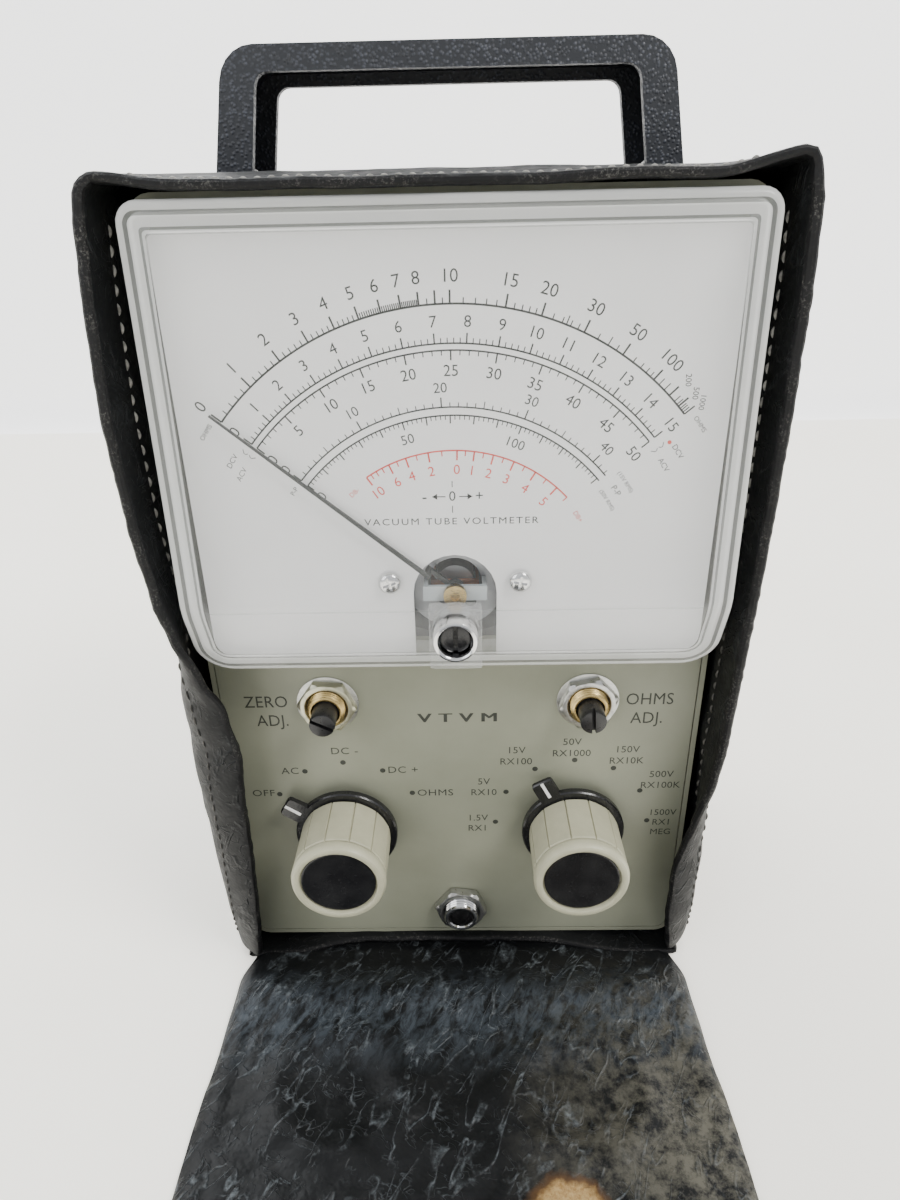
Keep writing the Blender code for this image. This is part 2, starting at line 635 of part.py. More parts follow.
def make_knob(name, centre, turn, clear):
    skirt = rod(f"{name}_knob_skirt", "gloss_black", centre, SKIRT_RADIUS, SKIRT, 40, turn)
    tab = box(f"{name}_tab", None, (-TAB_HALF_WIDTH, TAB_HALF_WIDTH), (10 * MM, TAB_REACH), SKIRT,
              (*centre, 0), turn)
    bore = rod(f"{name}_skirt_bore", None, centre, clear, mm(0, 8), 28, turn)
    combine(skirt, "UNION", tab)
    combine(skirt, "DIFFERENCE", bore)
    front, recess, radius = KNOB_FRONT, KNOB_FRONT - KNOB_RECESS_DEPTH, KNOB_RADIUS
    bevel = 1.0 * MM
    bore_end = 17.4 * MM
    profile = [(0, recess), (KNOB_RECESS_RADIUS, recess), (KNOB_RECESS_RADIUS, front),
               (radius - bevel, front), (radius, front - bevel), (radius, KNOB_BACK), (clear, KNOB_BACK),
               (clear, bore_end), (0, bore_end)]
    turned(f"{name}_knob", "beige_plastic", centre, profile, 36, turn)
    face, seat, edge = front - 0.3 * MM, recess + GAP, KNOB_INSERT_RADIUS
    insert = [(0, face), (edge - 0.4 * MM, face), (edge, face - 0.3 * MM), (edge, seat), (0, seat)]
    turned(f"{name}_knob_insert", "gloss_black", centre, insert, 32, turn)


def make_trimmer(name, x):
    """A panel potentiometer: can, brass bushing, hexagon nut and slotted shaft."""
    centre = (x, POT_UP)
    clear = SHAFT_RADIUS + GAP
    well, back, can_front, can_radius = mm(-8, -13, -1.8, 12)
    turned(f"{name}_control", "grey_steel", centre,
           [(0, well), (clear, well), (clear, can_front), (can_radius, can_front), (can_radius, back),
            (0, back)], 32)
    front, crest, foot = POT_BUSHING_FRONT, BUSHING_RADIUS, can_front + GAP
    turned(f"{name}_bushing", "brass", centre,
           [(clear, front), (crest - 0.4 * MM, front), (crest, front - 0.4 * MM), (crest, foot),
            (clear, foot)], 28)
    panel_nut(f"{name}_nut", centre, 2.6 * MM, 30)
    shaft = rod(f"{name}_shaft", "gloss_black", centre, SHAFT_RADIUS, (well + GAP, POT_SHAFT_FRONT), 28)
    slot = box(f"{name}_slot", None, mm(-0.5, 0.5), mm(-5, 5),
               (POT_SHAFT_FRONT - POT_SHAFT_SLOT, POT_SHAFT_FRONT + POT_SHAFT_SLOT), (*centre, 0))
    combine(shaft, "DIFFERENCE", slot)


def make_probe_jack():
    centre = (0, JACK_UP)
    bore, lip, body = mm(3.3, 4.0, 7.4)
    front, tip, seat, back = mm(4.6, 5.2, -1.8, -17)
    turned("probe_jack", "chrome", centre,
           [(bore, front), (lip, tip), (BUSHING_RADIUS, front), (BUSHING_RADIUS, seat), (body, seat),
            (body, back), (bore, back)], 28)
    panel_nut("probe_jack_nut", centre, 2.8 * MM, 22)


# ---------------------------------------------------------------- electronics


def make_electronics():
    half = PANEL_WIDTH / 2 - 3 * MM
    sheet = 1.2 * MM
    shelf_out = mm(-74, -34)
    shelf = box("chassis_shelf", "grey_steel", (-half, half), (SHELF_UP, SHELF_UP + sheet), shelf_out)
    lip = box("shelf_lip", None, (-half, half), (SHELF_UP - 9 * MM, SHELF_UP + sheet / 2),
              (shelf_out[1] - sheet, shelf_out[1]))
    combine(shelf, "UNION", lip)
    board = (BOARD_OUT - 1.6 * MM, BOARD_OUT)
    box("circuit_board", "circuit_board", (-half, half), (6 * MM, SHELF_UP - GAP), board)
    behind = board[0] - GAP
    core = box("power_transformer", "grey_steel", mm(-50, -14), mm(12, 56), (-66 * MM, behind))
    winding = box("transformer_winding", None, mm(-42, -22), mm(18, 50), mm(-71, -40))
    combine(core, "UNION", winding)
    upright = (math.radians(-90), 0, 0)
    make_tube("dual_triode", *mm(-18, 10.5, 46), upright)
    make_tube("dual_diode", *mm(18, 9.2, 36), upright)
    make_battery(behind, upright)


def make_tube(name, x, radius, height, upright):
    """A miniature glass tube in its socket on the shelf."""
    foot = SHELF_UP + 1.5 * MM
    socket_height = 6 * MM
    middle = -58 * MM
    shoulder, neck = height - 7 * MM, height - 2.5 * MM
    socket = rod(f"{name}_socket", "black_plastic", (0, 0), 11 * MM, (0, socket_height), 24)
    tube = turned(f"{name}_tube", "glass", (0, 0),
                  [(0, height + 4 * MM), (1.2 * MM, height + 3 * MM), (2.4 * MM, height),
                   (radius * 0.75, neck), (radius, shoulder), (radius, 0.8 * MM), (radius - 1 * MM, 0),
                   (0, 0)], 24)
    socket.location = (x, foot, middle)
    tube.location = (x, foot + socket_height + GAP, middle)
    socket.rotation_euler = upright
    tube.rotation_euler = upright


def make_battery(behind, upright):
    """One C-size cell between the two ends of a sprung holder."""
    x, low, length, radius, cap_radius, cap_height = mm(26, 32, 50, 13, 3.2, 1.6)
    middle = behind - 16 * MM
    shoulder = length - cap_height
    cell = turned("ohms_cell", "zinc_steel", (0, 0),
                  [(0, length), (cap_radius, length), (cap_radius, shoulder), (radius, shoulder), (radius, 0),
                   (0, 0)], 32)
    cell.location = (x, low, middle)
    cell.rotation_euler = upright
    half, end, floor = mm(10, 2, 1.6)
    holder = box("cell_holder", "black_plastic", (x - half, x + half), (low - end, low + length + end),
                 (middle - 9 * MM, behind))
    room = box("cell_holder_room", None, (x - 2 * half, x + 2 * half), (low - GAP, low + length + GAP),
               (middle - 20 * MM, behind - floor))
    combine(holder, "DIFFERENCE", room)


def main():
    make_case()
    make_flap()
    make_handle()
    make_cabinet()
    make_meter_cover()
    make_meter_body()
    make_dial()
    make_movement()
    make_rotary_control("function", -KNOB_X, FUNCTION_REST_DEG)
    make_rotary_control("range", KNOB_X, RANGE_REST_DEG)
    make_trimmer("zero_adjust", -POT_X)
    make_trimmer("ohms_adjust", POT_X)
    make_probe_jack()
    make_electronics()


main()
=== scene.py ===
"""Looks of a portable vacuum-tube voltmeter in its leatherette carrying case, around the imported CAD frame.

Most shapes are written in panel coordinates, in millimetres: x to the right, up from the front panel's lower
edge, and out from the panel's face towards the user. TO_WORLD turns them into metres in the row frame.
"""

import math

import bmesh
import bpy
from mathutils import Matrix, Vector, noise


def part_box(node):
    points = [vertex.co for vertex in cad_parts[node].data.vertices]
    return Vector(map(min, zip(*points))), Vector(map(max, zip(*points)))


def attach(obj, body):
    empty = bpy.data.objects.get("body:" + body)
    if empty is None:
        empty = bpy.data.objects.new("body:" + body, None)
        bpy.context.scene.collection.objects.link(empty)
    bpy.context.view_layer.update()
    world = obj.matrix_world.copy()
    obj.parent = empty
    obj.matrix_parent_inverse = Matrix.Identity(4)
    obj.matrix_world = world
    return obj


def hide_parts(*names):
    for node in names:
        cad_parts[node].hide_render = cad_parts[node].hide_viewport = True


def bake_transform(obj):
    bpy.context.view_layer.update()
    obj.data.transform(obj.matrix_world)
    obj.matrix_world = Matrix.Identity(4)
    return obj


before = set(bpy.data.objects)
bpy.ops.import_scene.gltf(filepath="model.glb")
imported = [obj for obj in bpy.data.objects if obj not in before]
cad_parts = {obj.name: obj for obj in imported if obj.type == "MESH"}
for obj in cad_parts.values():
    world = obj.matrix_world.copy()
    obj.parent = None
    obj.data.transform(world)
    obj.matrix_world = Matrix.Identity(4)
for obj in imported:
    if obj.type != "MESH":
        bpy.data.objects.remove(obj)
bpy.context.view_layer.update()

MM = 0.001
PANEL_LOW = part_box("front_panel")[0]
TO_WORLD = Matrix(((MM, 0, 0, 0), (0, 0, -MM, PANEL_LOW.y), (0, MM, 0, PANEL_LOW.z), (0, 0, 0, 1)))
TO_PANEL = TO_WORLD.inverted()


def panel_box(node):
    """A CAD node's lowest and highest (x, up, out), in millimetres."""
    low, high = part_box(node)
    a, b = TO_PANEL @ low, TO_PANEL @ high
    return Vector(map(min, a, b)), Vector(map(max, a, b))


# ------------------------------------------------------------------ materials


class Finish:
    """A material under construction: a Principled shader and the nodes that feed it."""

    def __init__(self, name, colour=(0.5, 0.5, 0.5), rough=0.5, metal=0.0, **constants):
        self.made = bpy.data.materials.new(name)
        self.made.use_nodes = True
        self.tree = self.made.node_tree
        self.shader = self.tree.nodes["Principled BSDF"]
        self.place = self.add("ShaderNodeTexCoord").outputs["Object"]
        self.set("Base Color", (*colour, 1))
        self.set("Roughness", rough)
        self.set("Metallic", metal)
        for socket, value in constants.items():
            self.set(socket.replace("_", " "), value)

    def add(self, kind, **inputs):
        node = self.tree.nodes.new(kind)
        for socket, value in inputs.items():
            self.feed(node.inputs[socket.replace("_", " ")], value)
        return node

    def feed(self, socket, value):
        if isinstance(value, bpy.types.NodeSocket):
            self.tree.links.new(value, socket)
        else:
            socket.default_value = value

    def set(self, socket, value):
        self.feed(self.shader.inputs[socket], value)

    def stretch(self, scale, turn=(0, 0, 0)):
        node = self.add("ShaderNodeMapping", Vector=self.place)
        node.inputs["Scale"].default_value = scale
        node.inputs["Rotation"].default_value = turn
        return node.outputs["Vector"]

    def leaning(self, lengths, turn):
        """Coordinates whose patterns are drawn out by these lengths along axes turned by these angles."""
        node = self.add("ShaderNodeMapping", Vector=self.place)
        node.vector_type = "TEXTURE"
        node.inputs["Scale"].default_value = lengths
        node.inputs["Rotation"].default_value = turn
        return node.outputs["Vector"]

    def noise(self, size_mm, detail=3.0, rough=0.5, warp=0.0, where=None):
        node = self.add("ShaderNodeTexNoise", Vector=where or self.place, Scale=1000 / size_mm,
                        Detail=detail, Roughness=rough, Distortion=warp)
        return node.outputs["Fac"]

    def cells(self, size_mm, feature="F1", where=None, randomness=1.0):
        node = self.add("ShaderNodeTexVoronoi", Vector=where or self.place, Scale=1000 / size_mm,
                        Randomness=randomness)
        node.feature = feature
        return node.outputs["Distance"]

    def ramp(self, value, low, high, a=0.0, b=1.0):
        node = self.add("ShaderNodeMapRange", Value=value)
        for socket, number in zip(("From Min", "From Max", "To Min", "To Max"), (low, high, a, b)):
            self.feed(node.inputs[socket], number)
        return node.outputs["Result"]

    def math(self, how, a, b=0.0):
        node = self.add("ShaderNodeMath")
        node.operation = how
        self.feed(node.inputs[0], a)
        self.feed(node.inputs[1], b)
        return node.outputs["Value"]

    def blend(self, share, a, b):
        node = self.add("ShaderNodeMix")
        node.data_type = "RGBA"
        self.feed(node.inputs["Factor"], share)
        for name, colour in (("A", a), ("B", b)):
            socket = [s for s in node.inputs if s.name == name and s.type == "RGBA"][0]
            self.feed(socket, (*colour, 1) if isinstance(colour, tuple) else colour)
        return [s for s in node.outputs if s.type == "RGBA"][0]

    def tint(self, share, a, b):
        self.set("Base Color", self.blend(share, a, b))

    def bump(self, height, depth_mm, strength=1.0, below=None):
        node = self.add("ShaderNodeBump", Height=height, Strength=strength, Distance=depth_mm * MM)
        if below is not None:
            self.feed(node.inputs["Normal"], below)
        self.set("Normal", node.outputs["Normal"])
        return node.outputs["Normal"]

    def axis(self, letter):
        return self.add("ShaderNodeSeparateXYZ", Vector=self.place).outputs[letter]


def plain_finish(name, a, b, rough, metal=0.0, size=6.0, grain=0.5, depth=0.03, **constants):
    """Two tones mottled at one size, with a finer grain in the roughness and the surface."""
    made = Finish(name, a, rough, metal, **constants)
    made.tint(made.ramp(made.noise(size, 4), 0.35, 0.65), a, b)
    fine = made.noise(grain, 3)
    made.set("Roughness", made.ramp(fine, 0.25, 0.75, max(rough - 0.08, 0.02), rough + 0.1))
    made.bump(fine, depth)
    return made.made


def brushed_finish(name, a, b, rough, streak=(1, 1, 8), size=1.2, depth=0.015):
    """Metal with drawn or turned streaks and a cloudy tarnish."""
    made = Finish(name, a, rough, 1.0)
    lines = made.noise(size, 5, 0.6, where=made.stretch(streak))
    cloud = made.noise(5.0, 4)
    made.tint(made.ramp(cloud, 0.35, 0.68), a, b)
    made.set("Roughness", made.ramp(lines, 0.3, 0.7, max(rough - 0.1, 0.04), rough + 0.12))
    made.bump(lines, depth)
    return made.made


def leather_finish(name, gloss, lengths, lean, line_size, crease_highlight_share, sheen=None, worn=None, laid=None):
    """Black leatherette: a pebbled grain under long leaning creases whose crests carry a painted highlight, pale
    grey-blue, in place of the light they catch.

    laid names a mesh attribute that holds the sheet's place at rest, so the pattern stays on it as it folds.
    """
    made = Finish(name, (0.007, 0.007, 0.008), gloss, 0.0, Specular_IOR_Level=0.17)
    if laid:
        place = made.add("ShaderNodeAttribute")
        place.attribute_name = laid
        made.place = place.outputs["Vector"]
    crease = made.noise(line_size, 2, 0.5, 0.6, where=made.leaning(lengths, lean))
    line = made.ramp(made.math("ABSOLUTE", made.math("SUBTRACT", crease, 0.5)), 0.006, 0.040, 1.0, 0.0)
    cross = made.noise(line_size * 0.7, 2, 0.5, 0.8, where=made.leaning((1.6, 1.0, 1.0), lean))
    cross = made.ramp(made.math("ABSOLUTE", made.math("SUBTRACT", cross, 0.46)), 0.0, 0.022, 0.6, 0.0)
    line = made.math("MAXIMUM", line, cross)
    patch = made.ramp(made.noise(9.0, 4, 0.65), 0.44, 0.62)
    line = made.math("MULTIPLY", line, patch)
    pebble = made.ramp(made.cells(0.95, "SMOOTH_F1"), 0.10, 0.80, 1.0, 0.0)
    first = made.bump(pebble, 0.07, 0.7)
    made.bump(line, 0.34, 0.9, first)
    # painted highlight: the broken crease lines tint the colour pale grey-blue where light would catch the crests
    broken = made.ramp(made.noise(1.1, 4, 0.7), 0.40, 0.66, 0.15, 1.0)
    share = made.math("MULTIPLY", made.math("MULTIPLY", line, broken), crease_highlight_share)
    colour = made.blend(made.ramp(made.noise(10.0, 4), 0.3, 0.7), (0.0040, 0.0044, 0.0048),
                        (0.0075, 0.0080, 0.0085))
    # painted sheen: when given, a paler band painted in for reflected light
    if sheen:
        colour = sheen(made, colour)
    colour = made.blend(share, colour, (0.19, 0.215, 0.23))
    if worn:
        colour = worn(made, colour)
    made.set("Base Color", colour)
    made.set("Roughness", made.ramp(made.noise(3.5, 5), 0.3, 0.7, gloss - 0.05, gloss + 0.12))
    return made.made


LEATHER = leather_finish("black_leatherette", 0.46, (1.0, 1.0, 3.0), (0.6, 0.2, 0.3), 6.0, 0.07)
HANDLE = Finish("pebbled_black_plastic", (0.02, 0.022, 0.028), 0.5)
_pebbles = HANDLE.cells(0.75, "F1")
# the pebbles' crowns are painted paler blue-grey as glints of light, and also raise the bump
_pebble_crown_glints = HANDLE.ramp(_pebbles, 0.10, 0.55, 1.0, 0.0)
HANDLE.tint(HANDLE.math("MULTIPLY", _pebble_crown_glints, HANDLE.ramp(HANDLE.noise(3.0), 0.3, 0.7)),
            (0.014, 0.016, 0.021), (0.060, 0.068, 0.090))
HANDLE.set("Roughness", HANDLE.ramp(HANDLE.noise(0.9), 0.3, 0.7, 0.38, 0.62))
HANDLE.bump(_pebble_crown_glints, 0.14)
HANDLE = HANDLE.made

ENAMEL = Finish("olive_beige_enamel", (0.27, 0.275, 0.205), 0.45)
ENAMEL.tint(ENAMEL.ramp(ENAMEL.noise(24.0, 4, 0.6), 0.3, 0.7), (0.250, 0.258, 0.190), (0.292, 0.298, 0.225))
_peel = ENAMEL.noise(0.8, 2, 0.5)
ENAMEL.set("Roughness", ENAMEL.ramp(ENAMEL.noise(5.0, 5), 0.3, 0.7, 0.38, 0.52))
ENAMEL.bump(_peel, 0.03)
ENAMEL = ENAMEL.made

BEIGE = Finish("beige_knob_plastic", (0.45, 0.43, 0.30), 0.42)
BEIGE.tint(BEIGE.ramp(BEIGE.noise(4.0, 5, 0.6), 0.3, 0.72), (0.415, 0.405, 0.285), (0.475, 0.462, 0.335))
BEIGE.set("Roughness", BEIGE.ramp(BEIGE.noise(0.6, 4), 0.3, 0.7, 0.34, 0.50))
BEIGE.bump(BEIGE.noise(0.5, 3), 0.025)
BEIGE = BEIGE.made

GLOSS_BLACK = plain_finish("gloss_black_plastic", (0.008, 0.008, 0.009), (0.016, 0.016, 0.017), 0.20,
                           grain=0.8)
MATT_BLACK = plain_finish("matt_black_phenolic", (0.018, 0.018, 0.020), (0.030, 0.030, 0.032), 0.55)
SHAFT_BLACK = plain_finish("shaft_black", (0.010, 0.010, 0.011), (0.022, 0.021, 0.021), 0.32, grain=0.4)
DIAL = plain_finish("dial_white_paint", (0.80, 0.80, 0.80), (0.835, 0.835, 0.835), 0.55, size=30.0,
                    depth=0.01)
NEEDLE = plain_finish("needle_black_paint", (0.020, 0.024, 0.022), (0.034, 0.038, 0.036), 0.45)
ZINC = brushed_finish("zinc_plate", (0.60, 0.60, 0.58), (0.47, 0.47, 0.45), 0.34)
ZINC_YELLOW = brushed_finish("yellowed_zinc_plate", (0.66, 0.64, 0.50), (0.52, 0.51, 0.38), 0.38)
BRASS = brushed_finish("turned_brass", (0.70, 0.53, 0.24), (0.52, 0.38, 0.16), 0.30)
CHROME = brushed_finish("worn_chrome", (0.78, 0.78, 0.78), (0.66, 0.66, 0.66), 0.14, depth=0.006)
STEEL = brushed_finish("grey_steel", (0.36, 0.37, 0.39), (0.26, 0.27, 0.29), 0.42)
BRIDGE = plain_finish("pale_blue_grey_bridge", (0.42, 0.46, 0.48), (0.50, 0.54, 0.55), 0.42, 0.1)
COPPER = brushed_finish("enamelled_copper", (0.58, 0.24, 0.12), (0.44, 0.17, 0.09), 0.38, (1, 8, 1), 0.5,
                        0.05)
RUBBER = plain_finish("grommet_rubber", (0.016, 0.016, 0.016), (0.026, 0.025, 0.025), 0.75)
BOARD = plain_finish("phenolic_board", (0.26, 0.16, 0.06), (0.36, 0.24, 0.10), 0.5, size=12.0)
CELL = plain_finish("cell_jacket", (0.50, 0.50, 0.50), (0.62, 0.61, 0.58), 0.3, 0.8)
TUBE = Finish("tube_glass", (0.75, 0.78, 0.78), 0.08, 0.0, Alpha=0.35)
TUBE.tint(TUBE.ramp(TUBE.noise(5.0), 0.3, 0.7), (0.70, 0.74, 0.74), (0.62, 0.62, 0.60))
TUBE.bump(TUBE.noise(8.0), 0.05)
TUBE = TUBE.made
PRINT = plain_finish("dark_print", (0.014, 0.018, 0.015), (0.026, 0.030, 0.026), 0.6, size=3.0)
RED_PRINT = plain_finish("red_print", (0.62, 0.050, 0.035), (0.70, 0.085, 0.06), 0.6, size=3.0)
GREY_PRINT = plain_finish("grey_panel_print", (0.026, 0.028, 0.022), (0.044, 0.046, 0.037), 0.6, size=3.0)
WHITE_PAINT = plain_finish("white_line_paint", (0.80, 0.80, 0.78), (0.88, 0.88, 0.86), 0.5, size=2.0)
THREAD = Finish("waxed_thread", (0.20, 0.19, 0.17), 0.7)
# the thread turns paler between about 0.115 and 0.150 m of height
_paler_higher_up = THREAD.ramp(THREAD.axis("Z"), 0.115, 0.150)
_fibre = THREAD.ramp(THREAD.noise(1.0, 4), 0.35, 0.65)
_dark = THREAD.blend(_fibre, (0.030, 0.029, 0.027), (0.085, 0.080, 0.070))
THREAD.tint(_paler_higher_up, _dark, THREAD.blend(_fibre, (0.16, 0.155, 0.14), (0.34, 0.33, 0.30)))
THREAD.set("Roughness", THREAD.ramp(THREAD.noise(0.25, 3), 0.25, 0.75, 0.62, 0.80))
THREAD.bump(THREAD.noise(0.25, 3), 0.03)
THREAD = THREAD.made
RAW_EDGE = Finish("folded_hem_edge", (0.008, 0.008, 0.009), 0.48, 0.0, Specular_IOR_Level=0.2)
# pale specks on the black hem edge are painted glints, standing in for light caught on its grain
_painted_glint = RAW_EDGE.math("MULTIPLY", RAW_EDGE.ramp(RAW_EDGE.noise(0.55, 4, 0.7), 0.52, 0.70),
                       RAW_EDGE.ramp(RAW_EDGE.noise(7.0, 3), 0.42, 0.62))
RAW_EDGE.tint(RAW_EDGE.math("MULTIPLY", _painted_glint, 0.6), (0.006, 0.006, 0.0065), (0.15, 0.147, 0.135))
RAW_EDGE.set("Roughness", RAW_EDGE.ramp(RAW_EDGE.noise(1.2, 4), 0.3, 0.7, 0.40, 0.60))
RAW_EDGE.bump(RAW_EDGE.noise(0.7, 4, 0.6), 0.10)
RAW_EDGE = RAW_EDGE.made


def clear_finish(name, colour, alpha, edge_alpha, rough=0.05):
    """Clear moulded plastic: see-through when faced squarely, and paler where it is seen edge-on."""
    made = Finish(name, colour, rough, 0.0, Specular_IOR_Level=0.5)
    facing = made.add("ShaderNodeLayerWeight", Blend=0.35).outputs["Facing"]
    haze = made.ramp(made.noise(14.0, 5, 0.6), 0.35, 0.7, 0.0, 0.018)
    made.set("Alpha", made.math("ADD", made.ramp(facing, 0.1, 0.9, alpha, edge_alpha), haze))
    made.bump(made.noise(22.0, 2), 0.04)
    return made.made


CLEAR = clear_finish("clear_styrene", (0.90, 0.91, 0.90), 0.02, 0.50)
# the side and rim copies are less see-through, painted so the walls and rounded rims show as pale lines of
# refracted light
CLEAR_SIDE = clear_finish("clear_styrene_side", (0.80, 0.81, 0.79), 0.22, 0.60)
CLEAR_RIM = clear_finish("clear_styrene_rim", (0.90, 0.91, 0.89), 0.40, 0.75, 0.12)
BOSS_CLEAR = clear_finish("clear_styrene_boss", (0.75, 0.76, 0.75), 0.10, 0.55)
# painted streaks: darker, paler and grey lines standing in for light refracted and caught along the cover's border
# and fold
PAINTED_DARK_STREAK = clear_finish("clear_styrene_dark_streak", (0.22, 0.23, 0.22), 0.38, 0.45)
PAINTED_PALE_STREAK = clear_finish("clear_styrene_pale_streak", (0.90, 0.91, 0.90), 0.45, 0.60)
PAINTED_GREY_STREAK = clear_finish("clear_styrene_grey_streak", (0.45, 0.47, 0.46), 0.30, 0.45)

CAD_FINISHES = {
    "handle_left_screw": ZINC, "handle_right_screw": ZINC, "cabinet_shell": ENAMEL, "front_panel": ENAMEL,
    "rear_cover": ENAMEL, "rear_cover_left_screw": ZINC, "rear_cover_right_screw": ZINC,
    "cord_grommet": RUBBER, "carrying_handle": HANDLE, "meter_body": MATT_BLACK, "dial_plate": DIAL,
    "magnet_yoke": STEEL, "moving_coil_core": STEEL, "moving_coil": COPPER, "pivot_bridge": BRIDGE,
    "pivot_jewel_screw": BRASS, "meter_needle": NEEDLE, "function_switch": STEEL, "function_switch_nut": ZINC,
    "function_switch_shaft": BRASS, "range_switch": STEEL, "range_switch_nut": ZINC,
    "range_switch_shaft": BRASS,
    "zero_adjust_control": STEEL, "ohms_adjust_control": STEEL, "chassis_shelf": ZINC, "circuit_board": BOARD,
    "power_transformer": STEEL, "dual_triode_socket": MATT_BLACK, "dual_triode_tube": TUBE,
    "dual_diode_socket": MATT_BLACK, "dual_diode_tube": TUBE, "ohms_cell": CELL, "cell_holder": MATT_BLACK,
}
for _node, _finish in CAD_FINISHES.items():
    _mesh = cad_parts[_node].data
    _mesh.materials.clear()
    _mesh.materials.append(_finish)


def bevel(obj, width_mm, segments=2, angle=30):
    """Breaks the sharp edges of a carried-over CAD node."""
    edge = obj.modifiers.new("bevel", "BEVEL")
    edge.width = width_mm * MM
    edge.segments = segments
    edge.limit_method = "ANGLE"
    edge.angle_limit = math.radians(angle)
    edge.harden_normals = False
    return obj


# ------------------------------------------------------------------ pieces


def finish_piece(bm, name, finishes, body, replaces=(), angle=35, matrix=TO_WORLD):
    """Makes one object of a mesh in panel coordinates, and rides it on its body."""
    bm.transform(matrix)
    bmesh.ops.recalc_face_normals(bm, faces=bm.faces)
    mesh = bpy.data.meshes.new(name)
    bm.to_mesh(mesh)
    bm.free()
    for finish in finishes if isinstance(finishes, (list, tuple)) else [finishes]:
        mesh.materials.append(finish)
    obj = bpy.data.objects.new(name, mesh)
    bpy.context.scene.collection.objects.link(obj)
    mesh.shade_smooth()
    mesh.set_sharp_from_angle(angle=math.radians(angle))
    if body:
        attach(obj, body)
    if replaces:
        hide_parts(*replaces)
    return obj


def slab(bm, outline, low, high, index=0):
    """A closed prism over an (x, up) outline between two out values."""
    below = [bm.verts.new((x, up, low)) for x, up in outline]
    above = [bm.verts.new((x, up, high)) for x, up in outline]
    faces = [bm.faces.new(above), bm.faces.new(list(reversed(below)))]
    for i in range(len(outline)):
        j = (i + 1) % len(outline)
        faces.append(bm.faces.new((below[i], below[j], above[j], above[i])))
    for face in faces:
        face.material_index = index
    return faces


def ribbon(bm, points, width, low, high):
    """A closed flat band along an open line of (x, up) points."""
    rails = []
    for i, (x, up) in enumerate(points):
        before, after = points[max(i - 1, 0)], points[min(i + 1, len(points) - 1)]
        run = Vector((after[0] - before[0], after[1] - before[1])).normalized() * (width / 2)
        rails.append([bm.verts.new((x + s * run.y, up - s * run.x, out))
                      for s in (-1, 1) for out in (low, high)])
    for a, b in zip(rails, rails[1:]):
        for i, j in ((0, 1), (1, 3), (3, 2), (2, 0)):
            bm.faces.new((a[i], a[j], b[j], b[i]))
    for end in (rails[0], rails[-1]):
        bm.faces.new((end[0], end[1], end[3], end[2]))


def ring_of(bm, points):
    return [bm.verts.new(p) for p in points]


def bridge(bm, a, b, index=0):
    """Quads between two closed rings of the same length."""
    for i in range(len(a)):
        j = (i + 1) % len(a)
        bm.faces.new((a[i], a[j], b[j], b[i])).material_index = index


def lathe(bm, centre, profile, steps=48, index=0, wobble=None):
    """A profile of (radius, out) turned about an axis along out. A radius of 0 closes an end."""
    rings = []
    for radius, out in profile:
        if radius <= 0:
            rings.append([bm.verts.new((centre[0], centre[1], out))])
            continue
        ring = []
        for i in range(steps):
            a = math.tau * i / steps
            r = radius + (wobble(a, out) if wobble else 0)
            ring.append(bm.verts.new((centre[0] + r * math.cos(a), centre[1] + r * math.sin(a), out)))
        rings.append(ring)
    for a, b in zip(rings, rings[1:]):
        if len(a) == 1 or len(b) == 1:
            tip, ring = (a[0], b) if len(a) == 1 else (b[0], a)
            for i in range(len(ring)):
                bm.faces.new((tip, ring[i], ring[(i + 1) % len(ring)])).material_index = index
        else:
            bridge(bm, a, b, index)
    return rings


def polar(centre, radius, degrees):
    """A point at an angle clockwise from straight up."""
    a = math.radians(degrees)
    return centre[0] + radius * math.sin(a), centre[1] + radius * math.cos(a)


def add_text(bm, words, x, up, out, size, turn=0.0, align="CENTER", thin=0.0, wide=1.0, deep=0.02, gap=1.0):
    """Plain sans lettering, raised a hair from its surface. Its middle is at (x, up)."""
    curve = bpy.data.curves.new("lettering", "FONT")
    curve.body = words
    curve.size = size
    curve.align_x = align
    curve.align_y = "CENTER"
    curve.offset = -thin
    curve.extrude = deep / 2
    curve.space_character = gap
    curve.resolution_u = 3
    curve.fill_mode = "BOTH"
    holder = bpy.data.objects.new("lettering", curve)
    bpy.context.scene.collection.objects.link(holder)
    graph = bpy.context.evaluated_depsgraph_get()
    mesh = bpy.data.meshes.new_from_object(holder.evaluated_get(graph))
    here = Matrix.Translation((x, up, out + deep / 2 - 0.005)) @ Matrix.Rotation(math.radians(-turn), 4, "Z")
    mesh.transform(here @ Matrix.Diagonal((wide, 1, 1, 1)))
    bm.from_mesh(mesh)
    bpy.data.objects.remove(holder)
    bpy.data.curves.remove(curve)
    bpy.data.meshes.remove(mesh)


def circle(centre, radius, count, turn=0.0):
    """Points (x, up) round a circle, the first at an angle anticlockwise from the right, in radians."""
    angles = [math.tau * i / count + turn for i in range(count)]
    return [(centre[0] + radius * math.cos(a), centre[1] + radius * math.sin(a)) for a in angles]


def turned_bar(centre, half_width, half_length, degrees):
    """The corners of a bar about a centre, turned anticlockwise."""
    a = math.radians(degrees)
    corners = [(-half_width, -half_length), (half_width, -half_length), (half_width, half_length),
               (-half_width, half_length)]
    return [(centre[0] + x * math.cos(a) - y * math.sin(a), centre[1] + x * math.sin(a) + y * math.cos(a))
            for x, y in corners]


# ------------------------------------------------------------------ dial graphics

